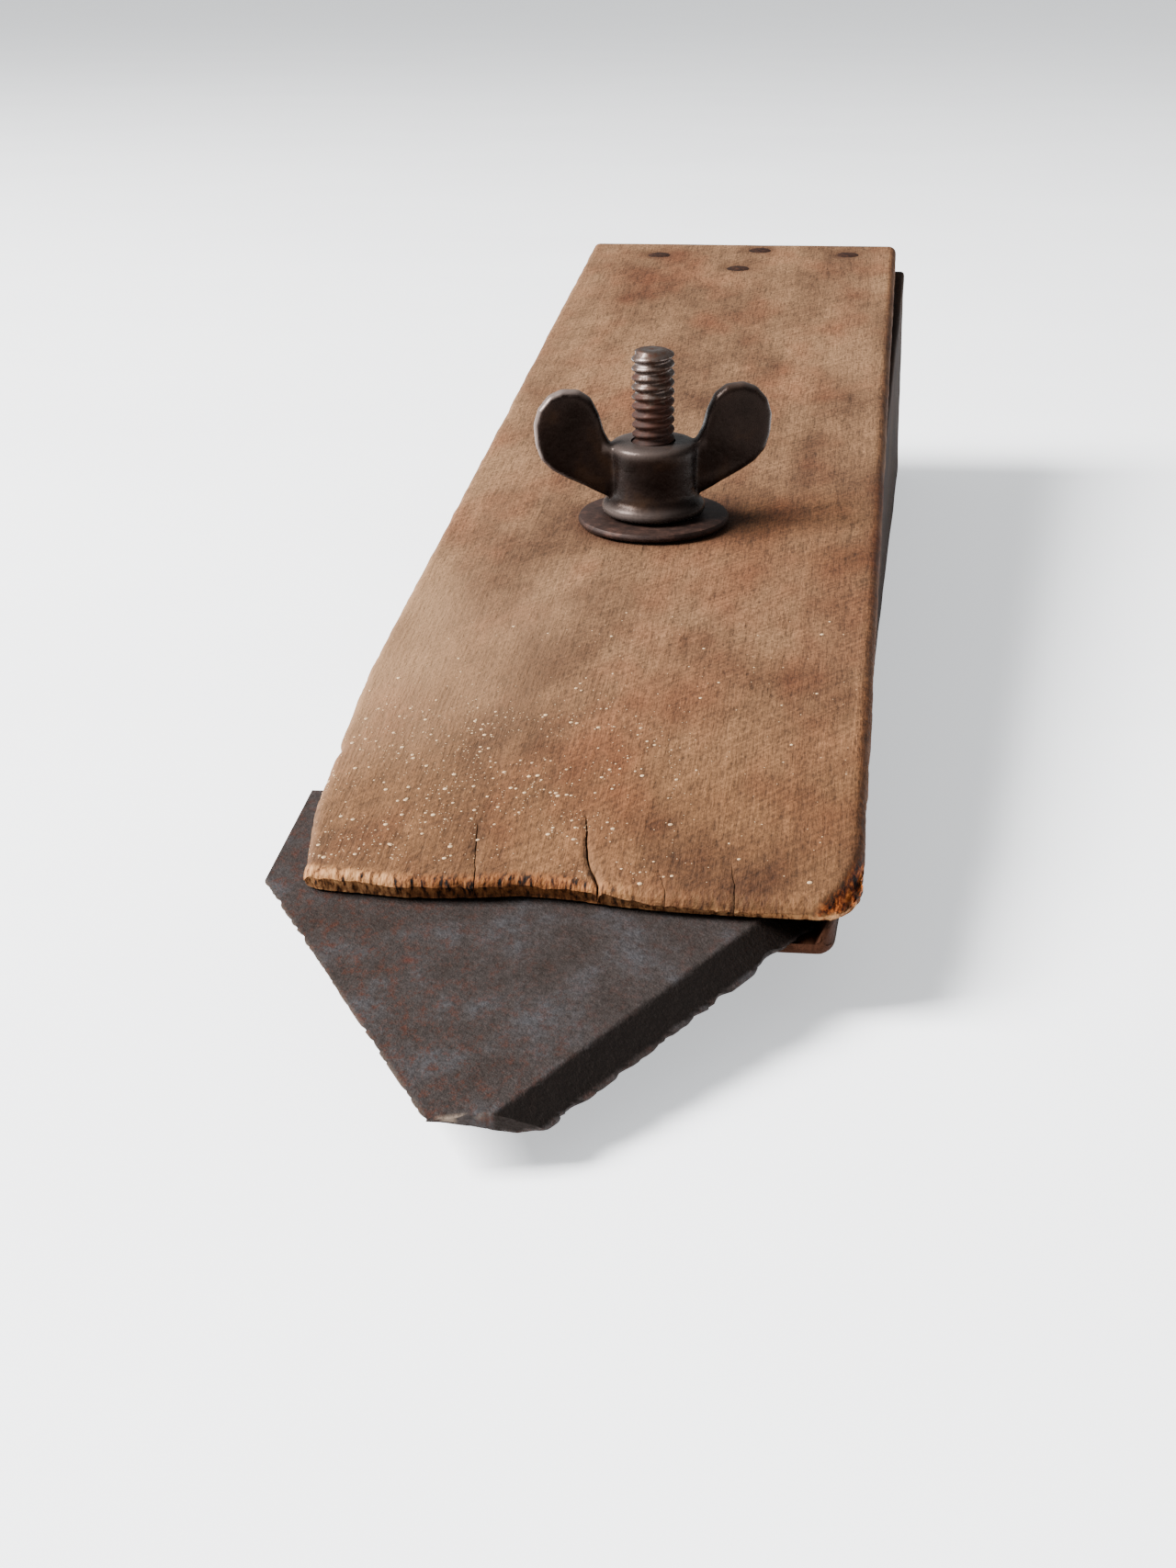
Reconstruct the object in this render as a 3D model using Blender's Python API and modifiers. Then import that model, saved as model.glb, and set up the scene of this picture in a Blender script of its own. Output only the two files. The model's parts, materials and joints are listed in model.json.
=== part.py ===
"""A shop-made wooden hand plane: a wedge-shaped body, a pointed iron let into the front of its bed,
and a thin cap board that is nailed on at the rear and pulled down by a wing nut on a bolt.

Metres, +Z up. The front, where the iron points, is -Y. The origin is the middle of the sole.
Two tilted frames carry what lies on the bed. Both stand where the bolt's axis meets the bed:
"bed" lies along the body, and "clamp" is turned a little on it, as the cap and the iron are.
"""

import math

import bmesh
import bpy

# Body
BODY_LENGTH = 0.321
BODY_WIDTH = 0.0635
BODY_EASING = 0.0008
BED_ANGLE = math.radians(6.0)
BED_FRONT_HEIGHT = 0.0108
NOSE_HEIGHT = 0.0046
NOSE_RELIEF = 0.050
NOSE_CORNER_ACROSS = 0.0065
NOSE_CORNER_ALONG = 0.0120

# Cap board
CAP_WIDTH = 0.0655
CAP_THICKNESS = 0.0050
CAP_FRONT_THICKNESS = 0.0026
CAP_TAPER_LENGTH = 0.0620
CAP_EASING = 0.0010
CAP_OVERHANG = 0.0012
CAP_REAR_INSET = 0.0003
CAP_RIGHT_OF_BOLT = 0.0341
CAP_CORNER_CUT = 0.0034
CAP_CORNER_CUT_LENGTH = 0.058
CAP_CORNER_ROUND = 0.0035
CLAMP_SKEW = math.radians(0.86)

# Iron
IRON_THICKNESS = 0.0024
IRON_WIDTH = 0.062
IRON_OUT = 0.0455
IRON_LENGTH = 0.0770
IRON_LEFT_SIDE = 0.026
IRON_RIGHT_SIDE = 0.0285
IRON_TIP_FROM_LEFT = 0.027
IRON_TIP_WIDTH = 0.0115
IRON_TIP_SET_BACK = 0.0032
IRON_BEVEL = 0.0040
IRON_EDGE_FLAT = 0.0001
RECESS_WALL = 0.00225
RECESS_BACK_CLEARANCE = 0.0003

# Bolt
BOLT_DIAMETER = 0.00635
BOLT_FROM_FRONT = 0.1232
BOLT_FROM_RIGHT = 0.03325
BOLT_ABOVE_CAP = 0.0265
BOLT_END_CHAMFER = 0.0008
BOLT_HEAD_DIAMETER = 0.0135
BOLT_HEAD_HEIGHT = 0.0035
BOLT_HEAD_DEPTH = 0.0030
BOLT_HOLE_CLEARANCE = 0.0005

# Washer and wing nut
WASHER_DIAMETER = 0.0226
WASHER_THICKNESS = 0.0013
NUT_HEIGHT = 0.0108
NUT_HUB_DIAMETER = 0.0132
NUT_COLLAR_DIAMETER = 0.0155
NUT_COLLAR_HEIGHT = 0.0018
NUT_EASING = 0.0008
NUT_SPAN = 0.0356
NUT_WING_THICKNESS = 0.0030
NUT_WING_LOW = 0.0030
NUT_WING_TOP = 0.0191
NUT_TURNED = math.radians(13.0)

# Nails: each place is measured from the middle of the cap's rear edge, across and forwards
NAIL_LENGTH = 0.030
NAIL_SHANK = 0.0026
NAIL_HEAD = 0.0050
NAIL_HEAD_THICKNESS = 0.0009
NAIL_POINT = 0.0040
NAIL_HOLE_CLEARANCE = 0.0004
NAIL_PLACES = ((-0.0175, 0.0107), (0.0036, 0.0052), (0.0225, 0.0087), (0.0001, 0.0230))

# Shared clearances and fineness
SEAT_GAP = 0.0003
OVERCUT = 0.005
BOLT_STEPS = 32
NAIL_STEPS = 16

# Places that follow from the sizes above. Heights over the bed are square to it.
BOLT_X = BODY_WIDTH / 2 - BOLT_FROM_RIGHT
BOLT_Y = BOLT_FROM_FRONT - BODY_LENGTH / 2
BED_HEIGHT_AT_BOLT = BED_FRONT_HEIGHT + BOLT_FROM_FRONT * math.tan(BED_ANGLE)
BED_FRONT = -BOLT_FROM_FRONT / math.cos(BED_ANGLE)
BOLT_HOLE_RADIUS = BOLT_DIAMETER / 2 + BOLT_HOLE_CLEARANCE
CAP_TOP = SEAT_GAP + CAP_THICKNESS
CAP_FRONT = BED_FRONT - CAP_OVERHANG
CAP_REAR = BED_FRONT + BODY_LENGTH / math.cos(BED_ANGLE) - CAP_REAR_INSET
CAP_LEFT = CAP_RIGHT_OF_BOLT - CAP_WIDTH
RECESS_RIGHT = BOLT_FROM_RIGHT - RECESS_WALL
RECESS_DEPTH = IRON_THICKNESS + SEAT_GAP
IRON_RIGHT = (RECESS_RIGHT - SEAT_GAP + BED_FRONT * math.sin(CLAMP_SKEW)) * math.cos(CLAMP_SKEW)
IRON_LEFT = IRON_RIGHT - IRON_WIDTH
IRON_FRONT = BED_FRONT - IRON_OUT
IRON_REAR = IRON_FRONT + IRON_LENGTH
WASHER_BOTTOM = CAP_TOP + SEAT_GAP
NUT_BOTTOM = WASHER_BOTTOM + WASHER_THICKNESS + SEAT_GAP


def clear_scene():
    for obj in list(bpy.data.objects):
        bpy.data.objects.remove(obj, do_unlink=True)


def collection(name, helpers=False):
    made = bpy.data.collections.new(name)
    bpy.context.scene.collection.children.link(made)
    made.hide_render = helpers
    return made


def material(name, colour, roughness, metallic=0.0):
    made = bpy.data.materials.new(name)
    made.use_nodes = True
    shader = made.node_tree.nodes["Principled BSDF"]
    shader.inputs["Base Color"].default_value = (*colour, 1.0)
    shader.inputs["Roughness"].default_value = roughness
    shader.inputs["Metallic"].default_value = metallic
    return made


def place(obj, into, parent=None, location=(0, 0, 0), rotation=(0, 0, 0), surface=None):
    """Puts an object in its collection and its frame, and gives it its material."""
    into.objects.link(obj)
    obj.parent = parent
    obj.location = location
    obj.rotation_euler = rotation
    if surface:
        obj.data.materials.append(surface)
    if into.hide_render:
        obj.hide_render = True
        obj.display_type = "WIRE"
    return obj


def frame(name, into, parent=None, location=(0, 0, 0), rotation=(0, 0, 0)):
    return place(bpy.data.objects.new(name, None), into, parent, location, rotation)


def plate(name, points, thickness, rounded=()):
    """A flat outline with its thickness centred on its own XY plane. The indices in rounded are smooth points."""
    outline = bpy.data.curves.new(name + "_outline", "CURVE")
    outline.dimensions = "2D"
    outline.fill_mode = "BOTH"
    outline.extrude = thickness / 2
    outline.resolution_u = 6
    spline = outline.splines.new("BEZIER")
    spline.use_cyclic_u = True
    spline.bezier_points.add(len(points) - 1)
    for index, (knot, point) in enumerate(zip(spline.bezier_points, points)):
        knot.co = (*point, 0)
        kind = "AUTO" if index in rounded else "VECTOR"
        knot.handle_left_type = kind
        knot.handle_right_type = kind
    guide = bpy.data.objects.new(name + "_guide", outline)
    bpy.context.scene.collection.objects.link(guide)
    bpy.context.view_layer.update()
    graph = bpy.context.evaluated_depsgraph_get()
    mesh = bpy.data.meshes.new_from_object(guide.evaluated_get(graph))
    bpy.data.objects.remove(guide, do_unlink=True)
    shape = bmesh.new()
    shape.from_mesh(mesh)
    bmesh.ops.remove_doubles(shape, verts=shape.verts, dist=1e-6)
    bmesh.ops.recalc_face_normals(shape, faces=shape.faces)
    shape.to_mesh(mesh)
    shape.free()
    mesh.name = name
    return bpy.data.objects.new(name, mesh)


def turned(name, profile, steps, ring=False):
    """A profile of (radius, height) points, from the top down its outer side, turned about Z.

    A ring's profile closes on itself. Any other profile starts and ends on the axis.
    """
    mesh = bpy.data.meshes.new(name)
    count = len(profile)
    vertices = [(radius, 0, height) for radius, height in profile]
    mesh.from_pydata(vertices, [(i, (i + 1) % count) for i in range(count if ring else count - 1)], [])
    obj = bpy.data.objects.new(name, mesh)
    screw = obj.modifiers.new("turn", "SCREW")
    screw.steps = steps
    screw.render_steps = steps
    screw.use_merge_vertices = True
    screw.merge_threshold = 1e-6
    screw.use_smooth_shade = True
    return obj


def rod(name, radius, low, high, steps):
    return turned(name, [(0, high), (radius, high), (radius, low), (0, low)], steps)


def block(name, low, high):
    shape = bmesh.new()
    bmesh.ops.create_cube(shape, size=1)
    for vertex in shape.verts:
        vertex.co = [a + (b - a) * (c + 0.5) for a, b, c in zip(low, high, vertex.co)]
    mesh = bpy.data.meshes.new(name)
    shape.to_mesh(mesh)
    shape.free()
    return bpy.data.objects.new(name, mesh)


def ease(obj, width):
    bevel = obj.modifiers.new("easing", "BEVEL")
    bevel.width = width
    bevel.segments = 1
    bevel.limit_method = "ANGLE"
    bevel.angle_limit = math.radians(30)


def combine(obj, other, operation="DIFFERENCE"):
    boolean = obj.modifiers.new(other.name, "BOOLEAN")
    boolean.operation = operation
    boolean.solver = "EXACT"
    boolean.object = other


def make_body(parts, cutters, bed):
    """The wedge: flat sole, bed rising to the rear, nose relieved underneath and cut off at its left
    corner, recess for the iron.
    """
    front, rear = -BODY_LENGTH / 2, BODY_LENGTH / 2
    bed_rear_height = BED_FRONT_HEIGHT + BODY_LENGTH * math.tan(BED_ANGLE)
    side = [
        (front, BED_FRONT_HEIGHT),
        (front, BED_FRONT_HEIGHT - NOSE_HEIGHT),
        (front + NOSE_RELIEF, 0),
        (rear, 0),
        (rear, bed_rear_height),
    ]
    body = plate("body", side, BODY_WIDTH)
    side_on = (math.radians(90), 0, math.radians(90))
    place(body, parts, rotation=side_on, surface=material("body_wood", (0.13, 0.07, 0.035), 0.75))
    reach = 3 * NOSE_CORNER_ALONG
    corner = block("nose_corner_cutter", (-reach, -reach, -OVERCUT), (reach, 0, bed_rear_height))
    place(corner, cutters, None, (-BODY_WIDTH / 2, front + NOSE_CORNER_ALONG, 0))
    corner.rotation_euler = (0, 0, -math.atan2(NOSE_CORNER_ALONG, NOSE_CORNER_ACROSS))
    combine(body, corner)
    ease(body, BODY_EASING)

    right_rear_corner = IRON_REAR * math.cos(CLAMP_SKEW) + IRON_RIGHT * math.sin(CLAMP_SKEW)
    recess = block(
        "recess_cutter",
        (-BODY_WIDTH, BED_FRONT - OVERCUT, -RECESS_DEPTH),
        (RECESS_RIGHT, right_rear_corner + RECESS_BACK_CLEARANCE, OVERCUT),
    )
    combine(body, place(recess, cutters, bed))
    hole = rod("bolt_hole_cutter", BOLT_HOLE_RADIUS, -BED_HEIGHT_AT_BOLT - OVERCUT, OVERCUT, BOLT_STEPS)
    combine(body, place(hole, cutters, bed))
    seat = bolt_head_top()
    radius = BOLT_HEAD_DIAMETER / 2 + BOLT_HOLE_CLEARANCE
    counterbore = rod("counterbore_cutter", radius, -BED_HEIGHT_AT_BOLT - OVERCUT, seat + SEAT_GAP, BOLT_STEPS)
    combine(body, place(counterbore, cutters, bed))
    return body


def bolt_head_top():
    """Height of the bolt head's upper face in the bed frame; the head sits inside the sole."""
    return -BED_HEIGHT_AT_BOLT * math.cos(BED_ANGLE) + BOLT_HEAD_DEPTH + BOLT_HEAD_HEIGHT


def make_cap(parts, cutters, clamp):
    """The cap board: thinned towards the front, with its front left corner cut back and rounded."""
    right, left = CAP_RIGHT_OF_BOLT, CAP_LEFT
    cut_left = left + CAP_CORNER_CUT
    outline = [
        (right, CAP_FRONT),
        (right, CAP_REAR),
        (left, CAP_REAR),
        (left, CAP_FRONT + CAP_CORNER_CUT_LENGTH),
        (cut_left, CAP_FRONT + CAP_CORNER_ROUND),
        (cut_left + CAP_CORNER_ROUND, CAP_FRONT),
    ]
    cap = plate("cap_board", outline, CAP_THICKNESS)
    middle = SEAT_GAP + CAP_THICKNESS / 2
    surface = material("cap_wood", (0.38, 0.22, 0.12), 0.7)
    place(cap, parts, clamp, (0, 0, middle), surface=surface)
    reach = 1.5 * CAP_TAPER_LENGTH
    taper = block("cap_taper_cutter", (-CAP_WIDTH, -reach, 0), (CAP_WIDTH, reach / 3, reach))
    place(taper, cutters, clamp, (0, CAP_FRONT + CAP_TAPER_LENGTH, CAP_TOP))
    fall = math.atan2(CAP_THICKNESS - CAP_FRONT_THICKNESS, CAP_TAPER_LENGTH)
    taper.rotation_euler = (fall, 0, 0)
    combine(cap, taper)
    ease(cap, CAP_EASING)
    hole = rod("cap_hole_cutter", BOLT_HOLE_RADIUS, -OVERCUT, CAP_TOP + OVERCUT, BOLT_STEPS)
    combine(cap, place(hole, cutters, clamp))
    return cap


def make_iron(parts, cutters, clamp):
    """The iron: both skew edges are bevelled, the right one on top and the left one underneath."""
    left, right, rear = IRON_LEFT, IRON_RIGHT, IRON_REAR
    left_corner = (left, rear - IRON_LEFT_SIDE)
    right_corner = (right, rear - IRON_RIGHT_SIDE)
    tip_left = (left + IRON_TIP_FROM_LEFT, IRON_FRONT)
    tip_right = (tip_left[0] + IRON_TIP_WIDTH, IRON_FRONT + IRON_TIP_SET_BACK)
    outline = [left_corner, tip_left, tip_right, right_corner, (right, rear), (left, rear)]
    iron = plate("iron", outline, IRON_THICKNESS)
    surface = material("iron_steel", (0.11, 0.105, 0.11), 0.5, 0.8)
    place(iron, parts, clamp, (0, 0, -IRON_THICKNESS / 2), surface=surface)
    for name, corner, tip, above in (
        ("right_bevel_cutter", right_corner, tip_right, True),
        ("left_bevel_cutter", left_corner, tip_left, False),
    ):
        combine(iron, bevel_cutter(name, corner, tip, above, cutters, clamp))
    return iron


def bevel_cutter(name, corner, tip, above, cutters, clamp):
    """A block whose face slopes from the skew edge to the bevel's inner line, over or under the iron.
    It leaves a narrow flat along the edge, as a worn edge has.
    """
    along = math.atan2(tip[1] - corner[1], tip[0] - corner[0])
    length = math.hypot(tip[0] - corner[0], tip[1] - corner[1])
    slope = math.atan2(IRON_THICKNESS - IRON_EDGE_FLAT, IRON_BEVEL)
    reach = 3 * IRON_BEVEL
    cutter = block(name, (-length, -reach, 0), (2 * length, reach, reach))
    height = IRON_EDGE_FLAT - IRON_THICKNESS if above else -IRON_EDGE_FLAT
    roll = -slope if above else math.pi - slope
    place(cutter, cutters, clamp, (corner[0], corner[1], height))
    cutter.rotation_euler = (roll, 0, along)
    return cutter


def make_bolt(parts, bed):
    """A round-headed bolt, let into the sole from below. The thread's helix is left plain."""
    top = CAP_TOP + BOLT_ABOVE_CAP
    seat = bolt_head_top()
    low = seat - BOLT_HEAD_HEIGHT
    radius = BOLT_DIAMETER / 2
    head = BOLT_HEAD_DIAMETER / 2
    profile = [
        (0, top),
        (radius - BOLT_END_CHAMFER, top),
        (radius, top - BOLT_END_CHAMFER),
        (radius, seat),
        (head, seat),
        (head, seat - BOLT_HEAD_HEIGHT * 0.4),
        (head * 0.75, low + BOLT_HEAD_HEIGHT * 0.15),
        (head * 0.4, low),
        (0, low),
    ]
    bolt = turned("bolt", profile, BOLT_STEPS)
    return place(bolt, parts, bed, surface=material("bolt_steel", (0.16, 0.13, 0.12), 0.45, 0.9))


def make_washer(parts, bed):
    outer, inner = WASHER_DIAMETER / 2, BOLT_HOLE_RADIUS
    edge = WASHER_THICKNESS * 0.25
    profile = [
        (inner, WASHER_THICKNESS),
        (outer - edge, WASHER_THICKNESS),
        (outer, WASHER_THICKNESS - edge),
        (outer, edge),
        (outer - edge, 0),
        (inner, 0),
    ]
    washer = turned("washer", profile, BOLT_STEPS, ring=True)
    surface = material("washer_steel", (0.10, 0.08, 0.07), 0.55, 0.8)
    return place(washer, parts, bed, (0, 0, WASHER_BOTTOM), surface=surface)


def make_wing_nut(parts, cutters, bed):
    """A forged wing nut: collar and hub turned in one, a paddle wing on each side."""
    hub, collar, bore = NUT_HUB_DIAMETER / 2, NUT_COLLAR_DIAMETER / 2, BOLT_DIAMETER / 2 + SEAT_GAP
    profile = [
        (bore, NUT_HEIGHT),
        (hub - NUT_EASING, NUT_HEIGHT),
        (hub, NUT_HEIGHT - NUT_EASING),
        (hub, NUT_COLLAR_HEIGHT + NUT_EASING),
        (collar, NUT_COLLAR_HEIGHT),
        (collar, 0),
        (bore, 0),
    ]
    nut = turned("wing_nut", profile, BOLT_STEPS, ring=True)
    surface = material("nut_steel", (0.09, 0.085, 0.085), 0.4, 0.9)
    place(nut, parts, bed, (0, 0, NUT_BOTTOM), (0, 0, NUT_TURNED), surface)
    root = (hub + bore) / 2
    tip = NUT_SPAN / 2
    rise = NUT_WING_TOP - NUT_WING_LOW
    outline = [
        (root, NUT_WING_LOW),
        (root + (tip - root) * 0.55, NUT_WING_LOW + rise * 0.23),
        (tip, NUT_WING_LOW + rise * 0.64),
        (root + (tip - root) * 0.62, NUT_WING_TOP),
        (root + (tip - root) * 0.26, NUT_WING_LOW + rise * 0.85),
        (root, NUT_HEIGHT - NUT_EASING),
    ]
    for name, turn in (("right_wing", 0.0), ("left_wing", math.pi)):
        wing = plate(name, outline, NUT_WING_THICKNESS, rounded=(1, 2, 3, 4))
        place(wing, cutters, nut, rotation=(math.radians(90), 0, turn))
        combine(nut, wing, "UNION")
    return nut


def make_nails(parts, cutters, clamp, cap, body):
    """Wire nails through the cap into the body, each in its own hole."""
    middle = (CAP_LEFT + CAP_RIGHT_OF_BOLT) / 2
    seat = CAP_TOP + SEAT_GAP
    top = seat + NAIL_HEAD_THICKNESS
    shank, head = NAIL_SHANK / 2, NAIL_HEAD / 2
    end = top - NAIL_LENGTH
    profile = [
        (0, top),
        (head * 0.7, top),
        (head, seat + NAIL_HEAD_THICKNESS * 0.5),
        (head, seat),
        (shank, seat),
        (shank, end + NAIL_POINT),
        (0, end),
    ]
    surface = material("nail_iron", (0.07, 0.05, 0.045), 0.7, 0.6)
    for number, (across, forwards) in enumerate(NAIL_PLACES, 1):
        foot = (middle + across, CAP_REAR - forwards, 0)
        nail = turned(f"nail_{number}", profile, NAIL_STEPS)
        place(nail, parts, clamp, foot, surface=surface)
        hole = rod(
            f"nail_{number}_hole_cutter",
            shank + NAIL_HOLE_CLEARANCE,
            end - SEAT_GAP,
            top + OVERCUT,
            NAIL_STEPS,
        )
        place(hole, cutters, clamp, foot)
        combine(cap, hole)
        combine(body, hole)


def main():
    clear_scene()
    parts = collection("hand_plane")
    cutters = collection("cutters", helpers=True)
    foot = (BOLT_X, BOLT_Y, BED_HEIGHT_AT_BOLT)
    bed = frame("bed", parts, location=foot, rotation=(BED_ANGLE, 0, 0))
    clamp = frame("clamp", parts, bed, rotation=(0, 0, CLAMP_SKEW))
    body = make_body(parts, cutters, bed)
    cap = make_cap(parts, cutters, clamp)
    make_iron(parts, cutters, clamp)
    make_bolt(parts, bed)
    make_washer(parts, bed)
    make_wing_nut(parts, cutters, bed)
    make_nails(parts, cutters, clamp, cap, body)


main()
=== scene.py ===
import json
import math

import bmesh
import bpy
import numpy as np
from mathutils import Matrix, Vector, noise

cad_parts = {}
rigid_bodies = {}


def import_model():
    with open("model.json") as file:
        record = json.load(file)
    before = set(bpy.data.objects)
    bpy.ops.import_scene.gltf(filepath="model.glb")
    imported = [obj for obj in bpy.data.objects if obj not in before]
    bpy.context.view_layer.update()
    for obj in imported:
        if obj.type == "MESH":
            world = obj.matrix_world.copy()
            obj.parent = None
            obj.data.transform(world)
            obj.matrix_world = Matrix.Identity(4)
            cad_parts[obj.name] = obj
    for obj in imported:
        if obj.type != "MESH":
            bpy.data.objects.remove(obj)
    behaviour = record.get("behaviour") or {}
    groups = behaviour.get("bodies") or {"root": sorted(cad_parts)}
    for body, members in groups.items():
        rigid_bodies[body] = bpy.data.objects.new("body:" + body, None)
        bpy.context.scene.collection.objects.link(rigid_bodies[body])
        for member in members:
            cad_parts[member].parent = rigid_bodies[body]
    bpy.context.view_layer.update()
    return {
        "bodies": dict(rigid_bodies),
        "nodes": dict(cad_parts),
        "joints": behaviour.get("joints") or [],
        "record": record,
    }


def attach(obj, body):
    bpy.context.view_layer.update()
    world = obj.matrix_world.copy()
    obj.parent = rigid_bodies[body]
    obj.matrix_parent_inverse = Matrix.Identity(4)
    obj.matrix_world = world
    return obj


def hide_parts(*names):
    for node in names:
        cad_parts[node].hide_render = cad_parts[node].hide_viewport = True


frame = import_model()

# ---- Bench, light and view -----------------------------------------------------------------
# The plane stands on a white painted bench. A broad soft lamp on its left and a pale room light
# it, and it is looked down on from in front, over its pointed iron.


def linear(code):
    """The linear colour of an sRGB hex value."""
    channels = [int(code[place : place + 2], 16) / 255 for place in (1, 3, 5)]
    return (*(c / 12.92 if c <= 0.04045 else ((c + 0.055) / 1.055) ** 2.4 for c in channels), 1.0)


def socket(sockets, key):
    """The socket of that number, or the one of that identifier or name."""
    if isinstance(key, int):
        return sockets[key]
    return next(s for s in sockets if key in (s.identifier, s.name))


def add(tree, kind, settings=None, sockets=None, stops=()):
    """Adds a node. A socket takes a value, a node, or a node and the name of one of its outputs, and
    a ramp's stops are places with sRGB hex colours."""
    node = tree.nodes.new(kind)
    for name, value in (settings or {}).items():
        setattr(node, name, value)
    join(tree, node, sockets or {})
    if stops:
        elements = node.color_ramp.elements
        elements.remove(elements[1])
        elements[0].position = stops[0][0]
        for place, _ in stops[1:]:
            elements.new(place)
        for element, (_, colour) in zip(elements, stops):
            element.color = linear(colour)
    return node


def join(tree, node, sockets):
    """Gives a node's sockets their values and links."""
    for key, value in sockets.items():
        target = socket(node.inputs, key)
        if isinstance(value, bpy.types.Node):
            value = (value, next(s.identifier for s in value.outputs if s.enabled))
        if isinstance(value, tuple) and isinstance(value[0], bpy.types.Node):
            tree.links.new(socket(value[0].outputs, value[1]), target)
        else:
            target.default_value = value


def finish_named(name, roughness, metallic=0.0):
    """A new material with its node tree and its main shader."""
    made = bpy.data.materials.new(name)
    made.use_nodes = True
    shader = made.node_tree.nodes["Principled BSDF"]
    join(made.node_tree, shader, {"Roughness": roughness, "Metallic": metallic})
    return made, made.node_tree, shader


def show(name, mesh):
    """A new object with that mesh, in the scene."""
    shown = bpy.data.objects.new(name, mesh)
    bpy.context.scene.collection.objects.link(shown)
    return shown


mm = 0.001

# White eggshell paint, brushed: almost even, with faint cloudy marks left by use.
bench_paint, tree, shader = finish_named("brushed_white_paint", 0.6)
place = add(tree, "ShaderNodeTexCoord")
marks = add(
    tree,
    "ShaderNodeTexNoise",
    sockets={"Vector": (place, "Object"), "Scale": 1 / (140 * mm), "Detail": 5.0, "Roughness": 0.6},
)
paint = add(
    tree,
    "ShaderNodeValToRGB",
    sockets={"Fac": marks},
    stops=((0.3, "#eeeef0"), (0.7, "#f4f5f6")),
)
brushed = add(tree, "ShaderNodeBump", sockets={"Height": marks, "Distance": 0.2 * mm, "Strength": 0.3})
# The room's brightness that the bench throws back from beyond the lamp's reach.
glow = {"Emission Color": (0.94, 0.97, 1.0, 1.0), "Emission Strength": 0.72}
join(tree, shader, {"Base Color": paint, "Normal": brushed, **glow})

mesh = bpy.data.meshes.new("bench")
mesh.from_pydata([(-3, -2, 0), (3, -2, 0), (3, 6, 0), (-3, 6, 0)], [], [(0, 1, 2, 3)])
mesh.materials.append(bench_paint)
bench = show("bench", mesh)

room = bpy.data.worlds.new("pale_room")
room.use_nodes = True
pale_light = {"Color": (0.97, 0.985, 1.0, 1.0), "Strength": 0.42}
join(room.node_tree, room.node_tree.nodes["Background"], pale_light)
bpy.context.scene.world = room

lamp_data = bpy.data.lights.new("soft_lamp", "AREA")
lamp_data.shape = "RECTANGLE"
lamp_data.size = 0.95
lamp_data.size_y = 0.85
lamp_data.energy = 190
lamp_aim = Vector((0, -0.05, 0.03))
lamp = bpy.data.objects.new("soft_lamp", lamp_data)
lamp.location = (-1.25, -0.45, 1.15)
lamp.rotation_euler = (lamp_aim - lamp.location).to_track_quat("-Z", "Y").to_euler()
bpy.context.scene.collection.objects.link(lamp)

camera_data = bpy.data.cameras.new("camera")
camera_data.lens = 62.7
camera = bpy.data.objects.new("camera", camera_data)
camera.location = (0.0410, -0.4388, 0.1124)
camera.rotation_euler = (math.radians(72.84), 0, math.radians(7.45))
bpy.context.scene.collection.objects.link(camera)
bpy.context.scene.camera = camera

# ---- Body ----------------------------------------------------------------------------------
# The long wedge under everything: one piece of old brown hardwood, sawn and planed by hand, its
# arrises and nose worn round. The recess for the iron was chopped with a chisel, and its right
# wall is worn down to a slope at the front.

# Two tilted frames carry what lies on the bed, and both stand where the bolt meets it. The second
# is turned a little aside, as the board and the iron lie.
bed_tilt, board_turn = math.radians(6.0), math.radians(0.86)
bolt_foot = Vector((-1.5 * mm, -37.3 * mm, 23.749 * mm))
bed_frame = Matrix.Translation(bolt_foot) @ Matrix.Rotation(bed_tilt, 4, "X")
clamp_frame = bed_frame @ Matrix.Rotation(board_turn, 4, "Z")
level_frame = Matrix.Identity(4)


def wander(points, sizes, seed):
    """Smooth noise of about -1 to 1 at points in millimetres, in lumps of the sizes given."""
    shift = Vector((seed * 17.31, seed * 5.13, seed * 9.77))
    scaled = np.asarray(points, float) / np.asarray(sizes, float)
    return np.array([noise.noise(Vector(point) + shift) for point in scaled.tolist()])


def along(values, size, seed):
    """The same noise along a line."""
    values = np.asarray(values, float)
    flat = np.column_stack([values.ravel(), np.zeros(values.size), np.zeros(values.size)])
    return wander(flat, (size, 1, 1), seed).reshape(values.shape)


def fall(distance, radius):
    """How far a rounded arris lies below its face, at a distance in from the edge."""
    inside = np.clip(radius - distance, 0, radius)
    return radius - np.sqrt(np.maximum(radius**2 - inside**2, 0))


def eased(low, high, count, radius):
    """Places from low to high, close together over the rounded arris at each end."""
    arris = radius * np.array([0.0, 0.04, 0.15, 0.35, 0.65, 1.0])
    between = np.linspace(low + radius, high - radius, count)[1:-1]
    return np.concatenate([low + arris, between, (high - arris)[::-1]])


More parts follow.
